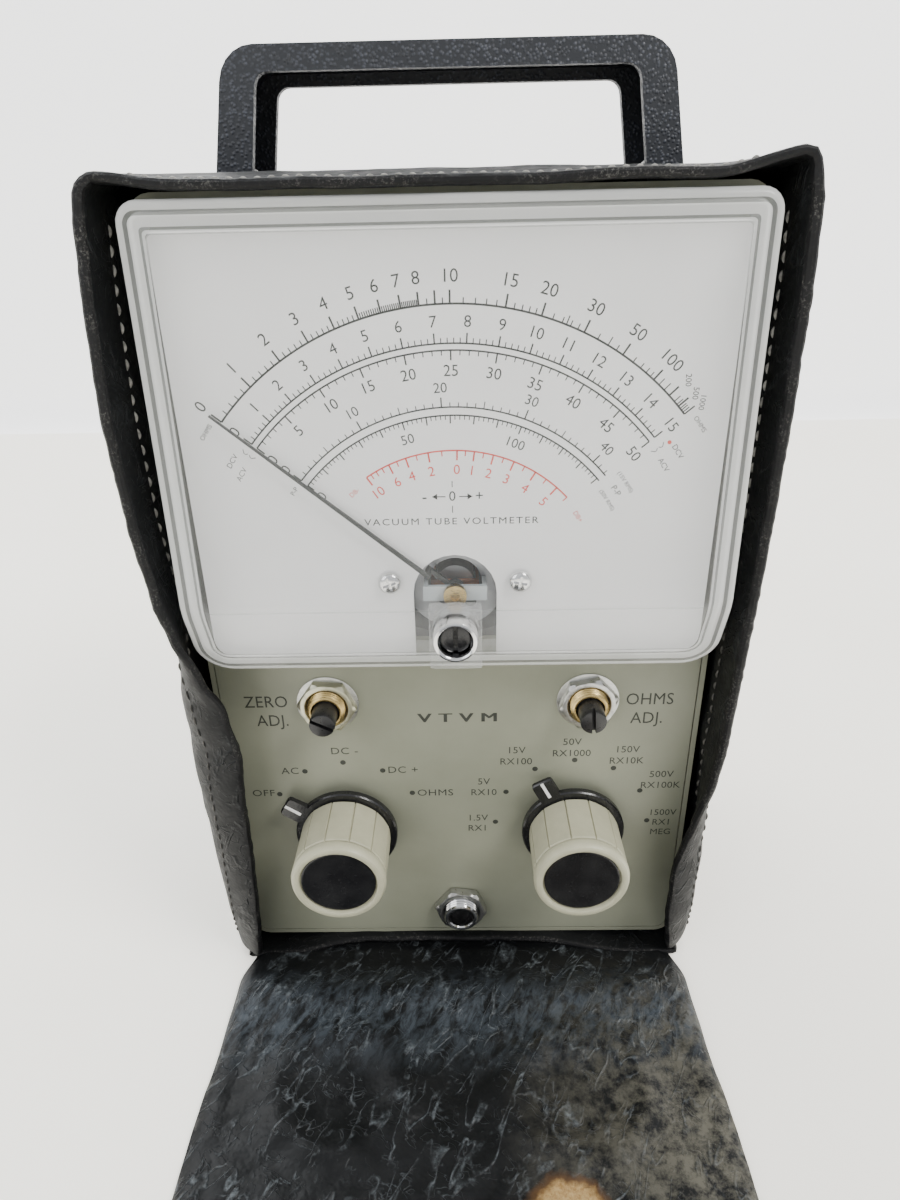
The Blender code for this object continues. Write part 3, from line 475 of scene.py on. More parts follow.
DIAL_OUT = panel_box("dial_plate")[1].z
BRIDGE_LOW, BRIDGE_HIGH = panel_box("pivot_bridge")
PIVOT = ((BRIDGE_LOW.x + BRIDGE_HIGH.x) / 2, (BRIDGE_LOW.y + BRIDGE_HIGH.y) / 2)
HALF_SWEEP = 50.0
INK = DIAL_OUT - 0.01, DIAL_OUT + 0.02
CAP = 1.42  # font size for one unit of capital height


def dial_angle(share):
    return HALF_SWEEP * (2 * share - 1)


def tick(bm, share, start, end, width):
    a = math.radians(dial_angle(share))
    run, side = Vector((math.sin(a), math.cos(a))), Vector((math.cos(a), -math.sin(a))) * width / 2
    near, far = Vector(PIVOT) + run * start, Vector(PIVOT) + run * end
    slab(bm, [near - side, near + side, far + side, far - side], *INK)


def arc(bm, radius, width, first=0.0, last=1.0):
    steps = 80
    shares = [first + (last - first) * i / steps for i in range(steps + 1)]
    ribbon(bm, [polar(PIVOT, radius, dial_angle(s)) for s in shares], width, *INK)


def dial_text(bm, words, share, radius, height, lean=1.0, thin=0.0):
    angle = dial_angle(share)
    x, up = polar(PIVOT, radius, angle)
    add_text(bm, words, x, up, DIAL_OUT, height * CAP, turn=angle * lean, thin=thin)


def ohms_share(value):
    return value / (value + 10.0)


def decibel_share(value):
    return 0.5167 * 10 ** (value / 20.0)


def make_dial_graphics():
    black = bmesh.new()
    # outermost: ohms, crowded towards the right
    arc(black, 59.0, 0.38)
    steps = [(0, 5, 0.2), (5, 8, 0.1), (8, 10, 0.5), (10, 20, 1), (20, 30, 2), (30, 50, 5), (50, 100, 10)]
    marks = {0: 2.4}
    for low, high, step in steps:
        count = round((high - low) / step)
        for i in range(1, count + 1):
            marks[round(low + i * step, 3)] = 1.1
    marks.update({v: 1.7 for v in (25, 40, 150)})
    marks.update({v: 2.4 for v in (*range(1, 11), 15, 20, 30, 50, 100, 200, 500)})
    marks.update({v: 1.5 for v in (120, 300, 400, 700, 1000, 2000)})
    for value, length in marks.items():
        tick(black, ohms_share(value), 59.0, 59.0 + length, 0.36 if length > 2 else 0.22)
    tick(black, 1.0, 59.0, 61.4, 0.30)
    for value in (0, 1, 2, 3, 4, 5, 6, 7, 8, 10, 15, 20, 30, 50, 100):
        dial_text(black, str(value), ohms_share(value), 63.7, 2.35)
    dial_text(black, "200", ohms_share(215), 63.4, 1.15, lean=1.9)
    dial_text(black, "500", ohms_share(560), 62.9, 1.15, lean=1.9)
    dial_text(black, "1000", 1.003, 62.9, 1.1, lean=1.9)

    # the pair for volts, 0 to 15 above and 0 to 50 below
    arc(black, 52.0, 0.32)
    arc(black, 50.75, 0.32)
    for i in range(76):
        tick(black, i / 75, 52.0, 53.9 if i % 5 == 0 else 53.0, 0.30 if i % 5 == 0 else 0.20)
    for value in range(16):
        dial_text(black, str(value), value / 15, 55.85, 2.15)
    for i in range(51):
        tick(black, i / 50, 50.75, 48.9 if i % 5 == 0 else 49.8, 0.30 if i % 5 == 0 else 0.20)
    for value in range(0, 51, 5):
        dial_text(black, str(value), value / 50, 46.9, 2.15)

    # the pair for peak-to-peak volts
    top_low, top_high = 42.4, 141.4
    arc(black, 40.1, 0.30)
    arc(black, 38.5, 0.30)
    for i in range(43):
        long = i % 10 == 0
        reach = 1.9 if long else 1.4 if i % 5 == 0 else 0.9
        tick(black, i / top_low, 40.1, 40.1 + reach, 0.28 if long else 0.19)
    for value in range(0, 41, 10):
        dial_text(black, str(value), value / top_low, 43.75, 1.95)
    for i in range(71):
        value = 2 * i
        long = value % 10 == 0
        tick(black, value / top_high, 38.5, 38.5 - (1.6 if long else 0.85), 0.26 if long else 0.18)
    for value in (0, 50, 100):
        dial_text(black, str(value), value / top_high, 34.9, 1.95)

    # small words at the scales' ends
    for share, radius, words, height in (
        (-0.035, 60.4, "OHMS", 0.95), (1.035, 60.3, "OHMS", 0.95), (-0.058, 53.4, "DCV", 1.1),
        (-0.074, 50.6, "ACV", 1.1), (1.057, 54.1, "DCV", 1.1), (1.066, 50.5, "ACV", 1.1),
        (-0.04, 40.0, "P-P", 1.0), (1.05, 42.5, "(15V RMS)", 0.85),
        (1.056, 40.0, "P-P", 1.25), (1.067, 37.5, "(50V RMS)", 0.85),
    ):
        dial_text(black, words, share, radius, height, lean=1.0)
    for side in (-1, 1):
        for offset in (1.4, -1.4):
            base = 0.5 + side * (0.5 + 0.022)
            line = [polar(PIVOT, 51.4 + offset * t, dial_angle(base + side * 0.0077 * (1 - abs(2 * t - 1))))
                    for t in (0.12, 0.35, 0.6, 0.85, 1.05)]
            ribbon(black, line, 0.14, *INK)

    # zero-centre mark, kind of instrument
    middle, level = PIVOT[0] - 0.2, 132.4
    add_text(black, "0", middle, level, DIAL_OUT, 2.1 * CAP, thin=0.0)
    for side in (-1, 1):
        tip, tail = middle + side * 2.1, middle + side * 4.1
        ribbon(black, [(tip - side * 0.7, level), (tail, level)], 0.2, *INK)
        barb = tail - side * 1.0
        slab(black, [(barb, level - 0.65), (tail, level), (barb, level + 0.65)], *INK)
    for low, high in ((-3.5, -2.0), (2.0, 3.3)):
        left, right = middle - 0.09, middle + 0.09
        slab(black, [(left, level + low), (right, level + low), (right, level + high), (left, level + high)], *INK)
    add_text(black, "-", middle - 5.7, level, DIAL_OUT, 2.4 * CAP, thin=0.0)
    add_text(black, "+", middle + 5.5, level, DIAL_OUT, 2.2 * CAP, thin=0.0)
    add_text(black, "VACUUM TUBE VOLTMETER", -0.5, 127.0, DIAL_OUT, 1.45 * CAP, thin=0.0, wide=1.16, gap=1.25)
    finish_piece(black, "dial_scales_black", PRINT, "instrument")

    red = bmesh.new()
    arc(red, 31.5, 0.32, decibel_share(-10), decibel_share(5.5))
    for half_step in range(-20, 12):
        value = half_step / 2
        if value < 0 and half_step % 2:
            continue
        whole = value in (-10, -6, -4, -2, 0, 1, 2, 3, 4, 5)
        tick(red, decibel_share(value), 31.5, 31.5 - (2.0 if whole else 1.1), 0.34 if whole else 0.24)
    for value in (-10, -6, -4, -2, 0, 1, 2, 3, 4, 5):
        dial_text(red, str(abs(value)), decibel_share(value), 27.5, 2.0)
    dial_text(red, "DB-", 0.088, 30.6, 1.0)
    dial_text(red, "DB+", 1.062, 30.8, 1.0)
    x, up = 42.9, 142.9
    slab(red, circle((x, up), 0.42, 14), *INK)
    finish_piece(red, "dial_decibels_red", RED_PRINT, "instrument")


make_dial_graphics()


# ------------------------------------------------------------------ panel graphics

KNOB_CENTRES = {}
for _name in ("function", "range"):
    _low, _high = panel_box(_name + "_knob")
    KNOB_CENTRES[_name] = ((_low.x + _high.x) / 2, (_low.y + _high.y) / 2)
DOT_CIRCLE, DOT_RADIUS = 20.0, 0.72


def make_panel_graphics():
    ink = bmesh.new()
    low, high = -0.01, 0.02
    for name, first, count in (("function", -60, 5), ("range", -90, 7)):
        for i in range(count):
            x, up = polar(KNOB_CENTRES[name], DOT_CIRCLE, first + 30 * i)
            slab(ink, circle((x, up), DOT_RADIUS, 18), low, high)
    size = 2.05 * CAP
    for words, x, up in (("OFF", -51.0, 49.3), ("AC", -43.3, 56.4), ("DC -", -28.9, 62.5),
                         ("DC +", -14.3, 56.4), ("OHMS", -6.2, 48.9)):
        add_text(ink, words, x, up, 0, size, wide=1.12, gap=1.08)
    for first, second, x, up in (("1.5V", "RX1", 4.8, 38.6), ("5V", "RX10", 6.4, 50.6), 
                                 ("15V", "RX100", 14.6, 60.4), ("50V", "RX1000", 28.6, 62.8),
                                 ("150V", "RX10K", 42.6, 60.3), ("500V", "RX100K", 51.9, 52.4)):
        add_text(ink, first, x, up + 1.75, 0, size * 0.98, wide=1.02, gap=1.03)
        add_text(ink, second, x, up - 1.75, 0, size * 0.98, wide=1.02, gap=1.03)
    for row, words in enumerate(("1500V", "RX1", "MEG")):
        add_text(ink, words, 53.4, 41.6 - 3.3 * row, 0, size * 0.94, gap=1.03)
    finish_piece(ink, "panel_index_print", GREY_PRINT, "instrument")

    words_print = bmesh.new()
    for words, x, up in (("ZERO", -47.0, 77.4), ("ADJ.", -45.9, 71.9), ("OHMS", 46.9, 77.0),
                         ("ADJ.", 46.6, 71.5)):
        add_text(words_print, words, x, up, 0, 3.3 * CAP, wide=0.88, gap=1.04)
    for shift in (-0.16, -0.05, 0.06, 0.17):
        add_text(words_print, "V T V M", shift, 72.2, shift * 0.01, 2.6 * CAP, wide=1.5, gap=1.05)
    finish_piece(words_print, "panel_caption_print", GREY_PRINT, "instrument")


make_panel_graphics()


# ------------------------------------------------------------------ knobs

FACETS = 12
TAB_DROP = 0.45  # how far the pointer tab slopes down to its tip


def fluted(radius, groove_depth, turn):
    """A ring of points round a knob whose side has wide flats with a fine groove between each two."""
    points = []
    half = math.pi / FACETS
    for facet in range(FACETS):
        middle = math.tau * facet / FACETS + turn
        for offset in (-0.985, -0.93, -0.6, -0.2, 0.2, 0.6, 0.93, 0.985):
            depth = 1.0 if abs(offset) > 0.95 else 0.0
            a = half * offset
            crown = radius * (0.35 * math.cos(half) / math.cos(a) + 0.65)
            r = crown - groove_depth * depth
            points.append((r * math.cos(middle + a), r * math.sin(middle + a)))
    return points


def make_knob(name, rest_turn):
    body = name + "_control"
    centre = KNOB_CENTRES[name]
    low, high = panel_box(name + "_knob")
    radius, front, back = (high.x - low.x) / 2, high.z, low.z
    turn = math.radians(rest_turn)
    bm = bmesh.new()
    levels = [(back, radius - 0.3, 0.35), (back + 0.25, radius, 0.42), (front - 3.5, radius - 0.05, 0.42),
              (front - 3.25, radius - 0.3, 0.3)]
    rings = []
    for out, r, groove in levels:
        rings.append(ring_of(bm, [(centre[0] + x, centre[1] + y, out) for x, y in fluted(r, groove, turn)]))
    count = len(rings[0])
    # a turned neck behind the smooth front ring, then the ring, its lip and the recess for the insert
    profile = [(radius - 0.75, front - 3.2), (radius - 0.8, front - 2.75), (radius - 0.12, front - 2.6),
               (radius + 0.0, front - 2.2), (radius - 0.02, front - 1.3), (radius - 0.25, front - 0.6),
               (radius - 0.55, front - 0.15), (radius - 1.0, front), (9.85, front - 0.02),
               (9.6, front - 0.16),
               (9.5, front - 0.5), (9.48, front - 1.15)]
    for r, out in profile:
        ring = []
        for i in range(count):
            x, y = rings[0][i].co.x - centre[0], rings[0][i].co.y - centre[1]
            a = math.atan2(y, x)
            ring.append(bm.verts.new((centre[0] + r * math.cos(a), centre[1] + r * math.sin(a), out)))
        rings.append(ring)
    for a, b in zip(rings, rings[1:]):
        bridge(bm, a, b)
    bm.faces.new(rings[0])
    bm.faces.new(rings[-1])
    finish_piece(bm, name + "_knob_fluted", BEIGE, body, [name + "_knob"], angle=28)

    # recessed glossy disc with a faint dish
    disc = bmesh.new()
    lathe(disc, centre, [(0, front - 1.05), (3, front - 1.02), (6, front - 0.9), (8.4, front - 0.74),
                         (8.9, front - 0.66), (9.12, front - 0.76), (9.18, front - 1.12),
                         (0, front - 1.16)], 56)
    finish_piece(disc, name + "_knob_disc", GLOSS_BLACK, body, [name + "_knob_insert"])

    # skirt with its pointer tab
    skirt = bmesh.new()
    slow, shigh = panel_box(name + "_knob_skirt")
    s_back, s_front = slow.z, shigh.z
    ring_radius = 13.2
    tab_half, tab_far = 2.8, 18.1
    outline = []
    steps = 56
    tab_angle = math.asin(tab_half / ring_radius)
    for i in range(steps + 1):
        a = tab_angle + (math.tau - 2 * tab_angle) * i / steps
        outline.append((ring_radius * math.sin(a), ring_radius * math.cos(a)))
    corner = 0.8
    outline += [(-tab_half, tab_far - corner), (-tab_half + corner * 0.3, tab_far - corner * 0.3),
                (-tab_half + corner, tab_far), (tab_half - corner, tab_far),
                (tab_half - corner * 0.3, tab_far - corner * 0.3), (tab_half, tab_far - corner)]

    def turned_to(points, scale=1.0):
        spin = Matrix.Rotation(turn, 2)
        return [tuple(Vector(centre) + spin @ (Vector(p) * scale)) for p in points]

    # the tab slopes down towards its tip
    rings = []
    for out, inset in ((s_back, 0.0), (s_front - 0.35, 0.0), (s_front, 0.3)):
        ring = []
        for x, y in outline:
            length = math.hypot(x, y)
            slope = TAB_DROP * (length - ring_radius) / (tab_far - ring_radius)
            drop = 0.0 if length < ring_radius + 0.2 else slope
            shrink = (length - inset) / length
            spot = Vector(centre) + Matrix.Rotation(turn, 2) @ Vector((x * shrink, y * shrink))
            ring.append(skirt.verts.new((spot.x, spot.y, out - (drop if out > s_back else 0))))
        rings.append(ring)
    for a, b in zip(rings, rings[1:]):
        bridge(skirt, a, b)
    skirt.faces.new(rings[0])
    skirt.faces.new(rings[-1])
    bmesh.ops.triangulate(skirt, faces=[f for f in skirt.faces if len(f.verts) > 4])
    finish_piece(skirt, name + "_knob_skirt_tab", GLOSS_BLACK, body, [name + "_knob_skirt"])
    line = bmesh.new()
    steps = 6
    rails = []
    for i in range(steps + 1):
        y = 13.3 + (tab_far - 0.25 - 13.3) * i / steps
        drop = TAB_DROP * max(y - ring_radius, 0) / (tab_far - ring_radius)
        row = []
        for x, lift in ((-0.42, 0.0), (-0.30, 0.12), (0.30, 0.12), (0.42, 0.0), (0.42, -0.15),
                        (-0.42, -0.15)):
            spot = Vector(centre) + Matrix.Rotation(turn, 2) @ Vector((x, y))
            row.append(line.verts.new((spot.x, spot.y, s_front - drop + lift + 0.01)))
        rails.append(row)
    for a, b in zip(rails, rails[1:]):
        bridge(line, a, b)
    line.faces.new(rails[0])
    line.faces.new(rails[-1])
    finish_piece(line, name + "_knob_pointer_line", WHITE_PAINT, body)


def knob_rest(name):
    """How far a knob's tab points from straight up, anticlockwise in degrees, read from its skirt's reach."""
    centre = KNOB_CENTRES[name]
    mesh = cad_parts[name + "_knob_skirt"].data
    points = [TO_PANEL @ v.co for v in mesh.vertices]
    reach = [math.hypot(p.x - centre[0], p.y - centre[1]) for p in points]
    tips = [p for p, length in zip(points, reach) if length > max(reach) - 0.2]
    x = sum(p.x for p in tips) / len(tips) - centre[0]
    up = sum(p.y for p in tips) / len(tips) - centre[1]
    return -math.degrees(math.atan2(x, up))


for _name in ("function", "range"):
    make_knob(_name, knob_rest(_name))


# ------------------------------------------------------------------ nuts, bushings, shafts, jack, screws


def hex_nut(name, node, centre, across, inner, turn, finish, body="instrument"):
    """A hexagon nut with turned chamfers on both faces."""
    low, high = panel_box(node)
    back, front = low.z, high.z
    bm = bmesh.new()
    steps = 72
    rings = []
    corner = across / 2 / math.cos(math.radians(30))
    chamfer = 0.55
    for out, cut in ((back, corner - 0.35), (back + 0.25, corner), (front - chamfer, corner),
                     (front - 0.12, across / 2 + 0.12), (front, across / 2 - 0.25)):
        ring = []
        for i in range(steps):
            a = math.tau * i / steps
            flat = across / 2 / math.cos((a + math.radians(30)) % math.radians(60) - math.radians(30))
            r = min(flat, cut)
            spin = a + math.radians(turn)
            ring.append(bm.verts.new((centre[0] + r * math.cos(spin), centre[1] + r * math.sin(spin), out)))
        rings.append(ring)
    for r, out in ((inner + 0.35, front), (inner, front - 0.3), (inner, back + 0.2), (inner + 0.3, back)):
        rings.append(ring_of(bm, [(x, up, out) for x, up in circle(centre, r, steps, math.radians(turn))]))
    for a, b in zip(rings, rings[1:] + rings[:1]):
        bridge(bm, a, b)
    return finish_piece(bm, name, finish, body, [node], angle=24)


def thread_profile(radius, low, high, pitch, depth):
    """Thread crests and roots, from the front end back."""
    count = int((high - low) / pitch)
    profile = []
    for i in range(count):
        out = high - i * pitch
        profile += [(radius - depth, out), (radius, out - pitch * 0.35), (radius, out - pitch * 0.6)]
    return profile


def make_bushing(node, centre, radius, inner, finish, body="instrument"):
    low, high = panel_box(node)
    bm = bmesh.new()
    outer = [(inner + 0.15, high.z), (radius - 0.75, high.z), (radius - 0.35, high.z - 0.25)]
    outer += thread_profile(radius, 0.5, high.z - 0.4, 0.8, 0.32)
    outer += [(radius - 0.3, low.z), (inner, low.z), (inner, high.z - 0.15)]
    rings = lathe(bm, centre, outer, 48)
    bridge(bm, rings[-1], rings[0])
    return finish_piece(bm, node + "_threaded", finish, body, [node], angle=28)


def make_slotted_shaft(node, centre, radius, body, slot_width, slot_depth, finish, slot_turn=0.0):
    """A round shaft end with a screwdriver slot, its edges broken."""
    low, high = panel_box(node)
    front = high.z
    bm = bmesh.new()
    steps = 64
    rows = [(radius, low.z), (radius, front - slot_depth), (radius, front - 0.35),
            (radius - 0.12, front - 0.12), (radius - 0.38, front)]
    lathe(bm, centre, rows, steps)
    bm.faces.new([v for v in bm.verts if abs(v.co.z - low.z) < 1e-6])
    bm.faces.new([v for v in bm.verts if abs(v.co.z - front) < 1e-6])
    shaft = finish_piece(bm, node + "_slotted", finish, None, angle=30)
    cut = bmesh.new()
    slab(cut, turned_bar(centre, slot_width / 2, radius * 2, slot_turn), front - slot_depth, front + 2)
    cutter = finish_piece(cut, node + "_cutter", finish, None)
    subtract(shaft, cutter)
    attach(shaft, body)
    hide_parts(node)
    return shaft


def subtract(target, *cutters, operation="DIFFERENCE"):
    """Cuts or joins, and applies it at once, so that no helper object is left."""
    for cutter in cutters:
        boolean = target.modifiers.new("cut", "BOOLEAN")
        boolean.operation = operation
        boolean.solver = "EXACT"
        boolean.object = cutter
        graph = bpy.context.evaluated_depsgraph_get()
        cut = bpy.data.meshes.new_from_object(target.evaluated_get(graph))
        target.modifiers.clear()
        old = target.data
        target.data = cut
        bpy.data.meshes.remove(old)
        target.data.shade_smooth()
        target.data.set_sharp_from_angle(angle=math.radians(30))
        bpy.data.objects.remove(cutter)


def centre_of(node):
    low, high = panel_box(node)
    return (low.x + high.x) / 2, (low.y + high.y) / 2


POTS = {"zero_adjust": ("zero_adjuster", ZINC_YELLOW, 25.0, 62.0),
        "ohms_adjust": ("ohms_adjuster", ZINC, 42.0, 4.0)}
for _name, (_body, _nut, _nut_turn, _slot_turn) in POTS.items():
    _centre = centre_of(_name + "_bushing")
    hex_nut(_name + "_nut_chamfered", _name + "_nut", _centre, 12.6, 5.0, _nut_turn, _nut)
    make_bushing(_name + "_bushing", _centre, 4.65, 3.4, BRASS)
    make_slotted_shaft(_name + "_shaft", _centre, 3.08, _body, 0.9, 1.7, SHAFT_BLACK, _slot_turn)
    _washer = bmesh.new()
    _rings = lathe(_washer, _centre, [(7.5, 0.02), (7.6, 0.12), (7.6, 0.26), (7.45, 0.32), (5.2, 0.32),
                                      (5.2, 0.02)], 56)
    bridge(_washer, _rings[-1], _rings[0])
    finish_piece(_washer, _name + "_washer", ZINC, "instrument")


def make_jack():
    centre = centre_of("probe_jack")
    low, high = panel_box("probe_jack")
    hex_nut("probe_jack_nut_chamfered", "probe_jack_nut", centre, 12.6, 4.95, 22.0, ZINC)
    bm = bmesh.new()
    inner = 3.3
    profile = [(inner, high.z - 0.5), (inner + 0.2, high.z - 0.12), (4.0, high.z), (4.4, high.z - 0.15),
               (4.65, high.z - 0.6)]
    profile += thread_profile(4.65, 1.0, high.z - 0.9, 0.75, 0.25)
    profile += [(4.65, -1.8), (7.4, -1.8), (7.4, low.z), (inner, low.z)]
    rings = lathe(bm, centre, profile, 56)
    bridge(bm, rings[-1], rings[0])
    finish_piece(bm, "probe_jack_sleeve", CHROME, "instrument", ["probe_jack"], angle=26)
    # the dark insulator deep in the bore
    plug = bmesh.new()
    lathe(plug, centre, [(0, -3.4), (2.2, -3.2), (3.2, -2.6), (3.25, -6.0), (0, -6.0)], 32)
    finish_piece(plug, "probe_jack_insulator", MATT_BLACK, "instrument")


make_jack()


def phillips_screw(name, node, centre, turn, finish, body="instrument"):
    """A pan-head screw with a cross recess."""
    low, high = panel_box(node)
    seat, top = high.z - 1.5, high.z
    bm = bmesh.new()
    lathe(bm, centre, [(0, top), (0.8, top - 0.02), (1.5, top - 0.14), (2.05, top - 0.42), (2.4, top - 0.85),
                       (2.5, seat + 0.15), (2.42, seat), (1.2, seat), (1.2, low.z), (0, low.z)], 48)
    screw = finish_piece(bm, name, finish, None, angle=30)
    cutters = []
    for extra in (0, 90):
        cut = bmesh.new()
        slab(cut, turned_bar(centre, 0.28, 1.45, turn + extra), top - 0.75, top + 1)
        cutters.append(finish_piece(cut, f"{name}_cutter_{extra}", finish, None))
    subtract(screw, *cutters)
    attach(screw, body)
    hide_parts(node)


phillips_screw("dial_left_pan_screw", "dial_left_screw", centre_of("dial_left_screw"), 20.0, CHROME)
phillips_screw("dial_right_pan_screw", "dial_right_screw", centre_of("dial_right_screw"), -12.0, CHROME)


# ------------------------------------------------------------------ meter cover

COVER_LOW, COVER_HIGH = panel_box("meter_cover")
FOLD_UP, FOLD_OUT = 110.5, COVER_HIGH.z
COVER_TOP_OUT, COVER_FOOT_OUT = 13.2, 10.5


def cover_out(up):
    """How far out the cover's face is at a height: it slopes both ways from its fold."""
    rise = (FOLD_OUT - COVER_FOOT_OUT) / (FOLD_UP - COVER_LOW.y)
    fall = (FOLD_OUT - COVER_TOP_OUT) / (COVER_HIGH.y - FOLD_UP)
    plain = FOLD_OUT - (FOLD_UP - up) * rise if up < FOLD_UP else FOLD_OUT - (up - FOLD_UP) * fall
    near = max(0.0, 1.0 - abs(up - FOLD_UP) / 1.6)
    return plain - 0.28 * near * near


def cover_side(inset):
    """The right half of the cover's outline, from the bottom edge to the top edge."""
    half = COVER_HIGH.x - inset
    low, high = COVER_LOW.y + inset, COVER_HIGH.y - inset
    bottom_r, top_r = max(8.0 - inset, 0.8), max(4.0 - inset, 0.8)
    points = [(half - bottom_r + bottom_r * math.sin(a), low + bottom_r - bottom_r * math.cos(a))
              for a in [math.pi / 2 * i / 8 for i in range(9)]]
    points += [(half, up) for up in (FOLD_UP - 4, FOLD_UP - 1.6, FOLD_UP - 0.35, FOLD_UP, FOLD_UP + 0.8,
                                     FOLD_UP + 1.6,
                                     FOLD_UP + 6, 130, 150, 170)]
    points += [(half - top_r + top_r * math.cos(a), high - top_r + top_r * math.sin(a))
               for a in [math.pi / 2 * i / 6 for i in range(7)]]
    return points


def cover_ring(bm, inset, drop):
    """A closed ring round the cover, drop millimetres behind its face, or at its foot where drop is None."""
    right = cover_side(inset)
    points = right + [(-x, up) for x, up in reversed(right)]
    return [bm.verts.new((x, up, COVER_LOW.z if drop is None else cover_out(up) - drop)) for x, up in points]


def cover_face(bm, ring, index, fold_index=0):
    count = len(ring) // 2
    for i in range(count - 1):
        strip = bm.faces.new((ring[-1 - i], ring[i], ring[i + 1], ring[-2 - i]))
        middle = (ring[i].co.y + ring[i + 1].co.y) / 2
        # the thin strip at the fold gets the painted grey streak, standing in for light refracted at the fold
        strip.material_index = fold_index if abs(middle - FOLD_UP + 0.17) < 0.1 else index


def make_meter_cover():
    wall, edge = 1.8, 1.7
    bm = bmesh.new()
    outer = [cover_ring(bm, 0.0, None), cover_ring(bm, 0.0, edge)]
    for step in range(1, 6):
        a = math.pi / 2 * step / 5
        outer.append(cover_ring(bm, edge * (1 - math.cos(a)), edge * (1 - math.sin(a))))
    inner = [cover_ring(bm, wall, None), cover_ring(bm, wall, wall + 0.9),
             cover_ring(bm, wall + 0.3, wall + 0.3), cover_ring(bm, wall + 0.9, wall)]
    for i, (a, b) in enumerate(zip(outer, outer[1:])):
        bridge(bm, a, b, 1 if i == 0 else 2)
    for i, (a, b) in enumerate(zip(inner, inner[1:])):
        bridge(bm, a, b, 1 if i == 0 else 2)
    bridge(bm, outer[0], inner[0], 2)
    # fine painted lines along the border of its face stand in for light caught in the moulding
    before = outer[-1]
    for inset, index in ((2.5, 3), (4.3, 4), (4.8, 5), (5.3, 4), (5.55, 3)):
        after = cover_ring(bm, inset, 0.0)
        bridge(bm, before, after, index)
        before = after
    cover_face(bm, before, 0, 5)
    cover_face(bm, inner[-1], 0)
    finishes = [CLEAR, CLEAR_SIDE, CLEAR_RIM, PAINTED_DARK_STREAK, PAINTED_PALE_STREAK, PAINTED_GREY_STREAK]
    cover = finish_piece(bm, "meter_cover_moulded", finishes, None, angle=24)
    centre = centre_of("meter_zero_screw")
    drill = bmesh.new()
    lathe(drill, centre, [(0, 25), (5.0, 25), (5.0, 2), (0, 2)], 48)
    subtract(cover, finish_piece(drill, "zero_drill", CLEAR, None))
    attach(cover, "instrument")
    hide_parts("meter_cover")
    # the block round the zero screw
    boss = bmesh.new()
    half, low, high, back, front = 5.6, 94.6, 109.5, 11.0, 15.4
    rings = []
    count = 48
    for inset, out in ((0.0, back), (0.0, front - 0.7), (0.25, front - 0.2), (0.8, front)):
        ring = []
        for i in range(count):
            a = math.tau * i / count
            reach_x, reach_up = half - inset, (high - low) / 2 - inset
            c, s = math.cos(a), math.sin(a)
            scale = 1 / max(abs(c) / reach_x, abs(s) / reach_up)
            lift = 0.0 if out == back else min(0.0, cover_out((high + low) / 2 + s * scale) + 1.2 - out)
            ring.append(boss.verts.new((centre[0] + c * scale, (high + low) / 2 + s * scale,
                                        out + lift * 0.5)))
        rings.append(ring)
    for r, out in ((5.15, front - 0.25), (5.0, front - 0.5), (5.0, back)):
        rings.append(ring_of(boss, [(x, up, out) for x, up in circle(centre, r, count)]))
    for a, b in zip(rings, rings[1:] + rings[:1]):
        bridge(boss, a, b, 0)
    finish_piece(boss, "meter_cover_boss", BOSS_CLEAR, "instrument", angle=30)
    # bright collar and slotted screw
    collar = bmesh.new()
    low, high = panel_box("meter_zero_collar")
    rings = lathe(collar, centre, [(3.62, high.z - 1.4), (3.62, high.z - 0.5), (3.8, high.z - 0.15),
                                   (4.15, high.z), (4.5, high.z - 0.15), (4.68, high.z - 0.55), (4.68, low.z),
                                   (3.62, low.z)], 56)
    bridge(collar, rings[-1], rings[0])
    finish_piece(collar, "meter_zero_collar_rounded", CHROME, "instrument", ["meter_zero_collar"],
                 angle=40)
    make_slotted_shaft("meter_zero_screw", centre, 3.2, "meter_zero_adjuster", 1.0, 1.2, GLOSS_BLACK, 0.0)


make_meter_cover()
bevel(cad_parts["dial_plate"], 0.3)
bevel(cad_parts["pivot_bridge"], 0.25)
bevel(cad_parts["front_panel"], 0.25)
bevel(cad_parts["carrying_handle"], 0.9, 3)
bevel(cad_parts["pivot_jewel_screw"], 0.15)


# ------------------------------------------------------------------ leatherette case

OUTER_HALF = panel_box("case_right_side")[1].x
CASE_LOW = panel_box("case_bottom")[0].y
CASE_TOP = panel_box("case_top")[1].y
CASE_BACK = panel_box("case_back")[0].z
CORNER = 3.2
HANDLE_SLOT = 41.2, 50.3
INLET_RADIUS = 12
HEM_WIDTH, HEM_STEP = 12.5, 0.6
SKIN = 1.6

# the front edge of each side wall from the base up: height, distance from the middle, distance out
LEFT_EDGE = ((-5, 58.5, 7.0), (3, 57.0, 8.5), (14, 55.3, 11), (32, 53.8, 12.5), (52, 52.8, 13.5),
             (72, 51.9, 14.2), (84, 53.2, 14.8), (93, 57.0, 15.6), (103, 61.0, 16), (114, 63.2, 16),
             (130, 64.8, 16), (150, 65.5, 15.8), (170, 65.0, 14.8), (183, 64.2, 13.6), (193, 62.8, 12.6))
RIGHT_EDGE = ((-5, 60.0, 5.0), (3, 57.8, 8.0), (14, 56.2, 10), (30, 56.0, 10.4), (40, 57.6, 10.8),
              (51, 60.2, 11.2), (62, 62.2, 11.8), (76, 62.8, 12.4), (100, 63.4, 13), (125, 64.2, 13),
              (150, 64.4, 13), (170, 64.2, 12.8), (184, 63.8, 12.6), (193, 62.4, 12.2))


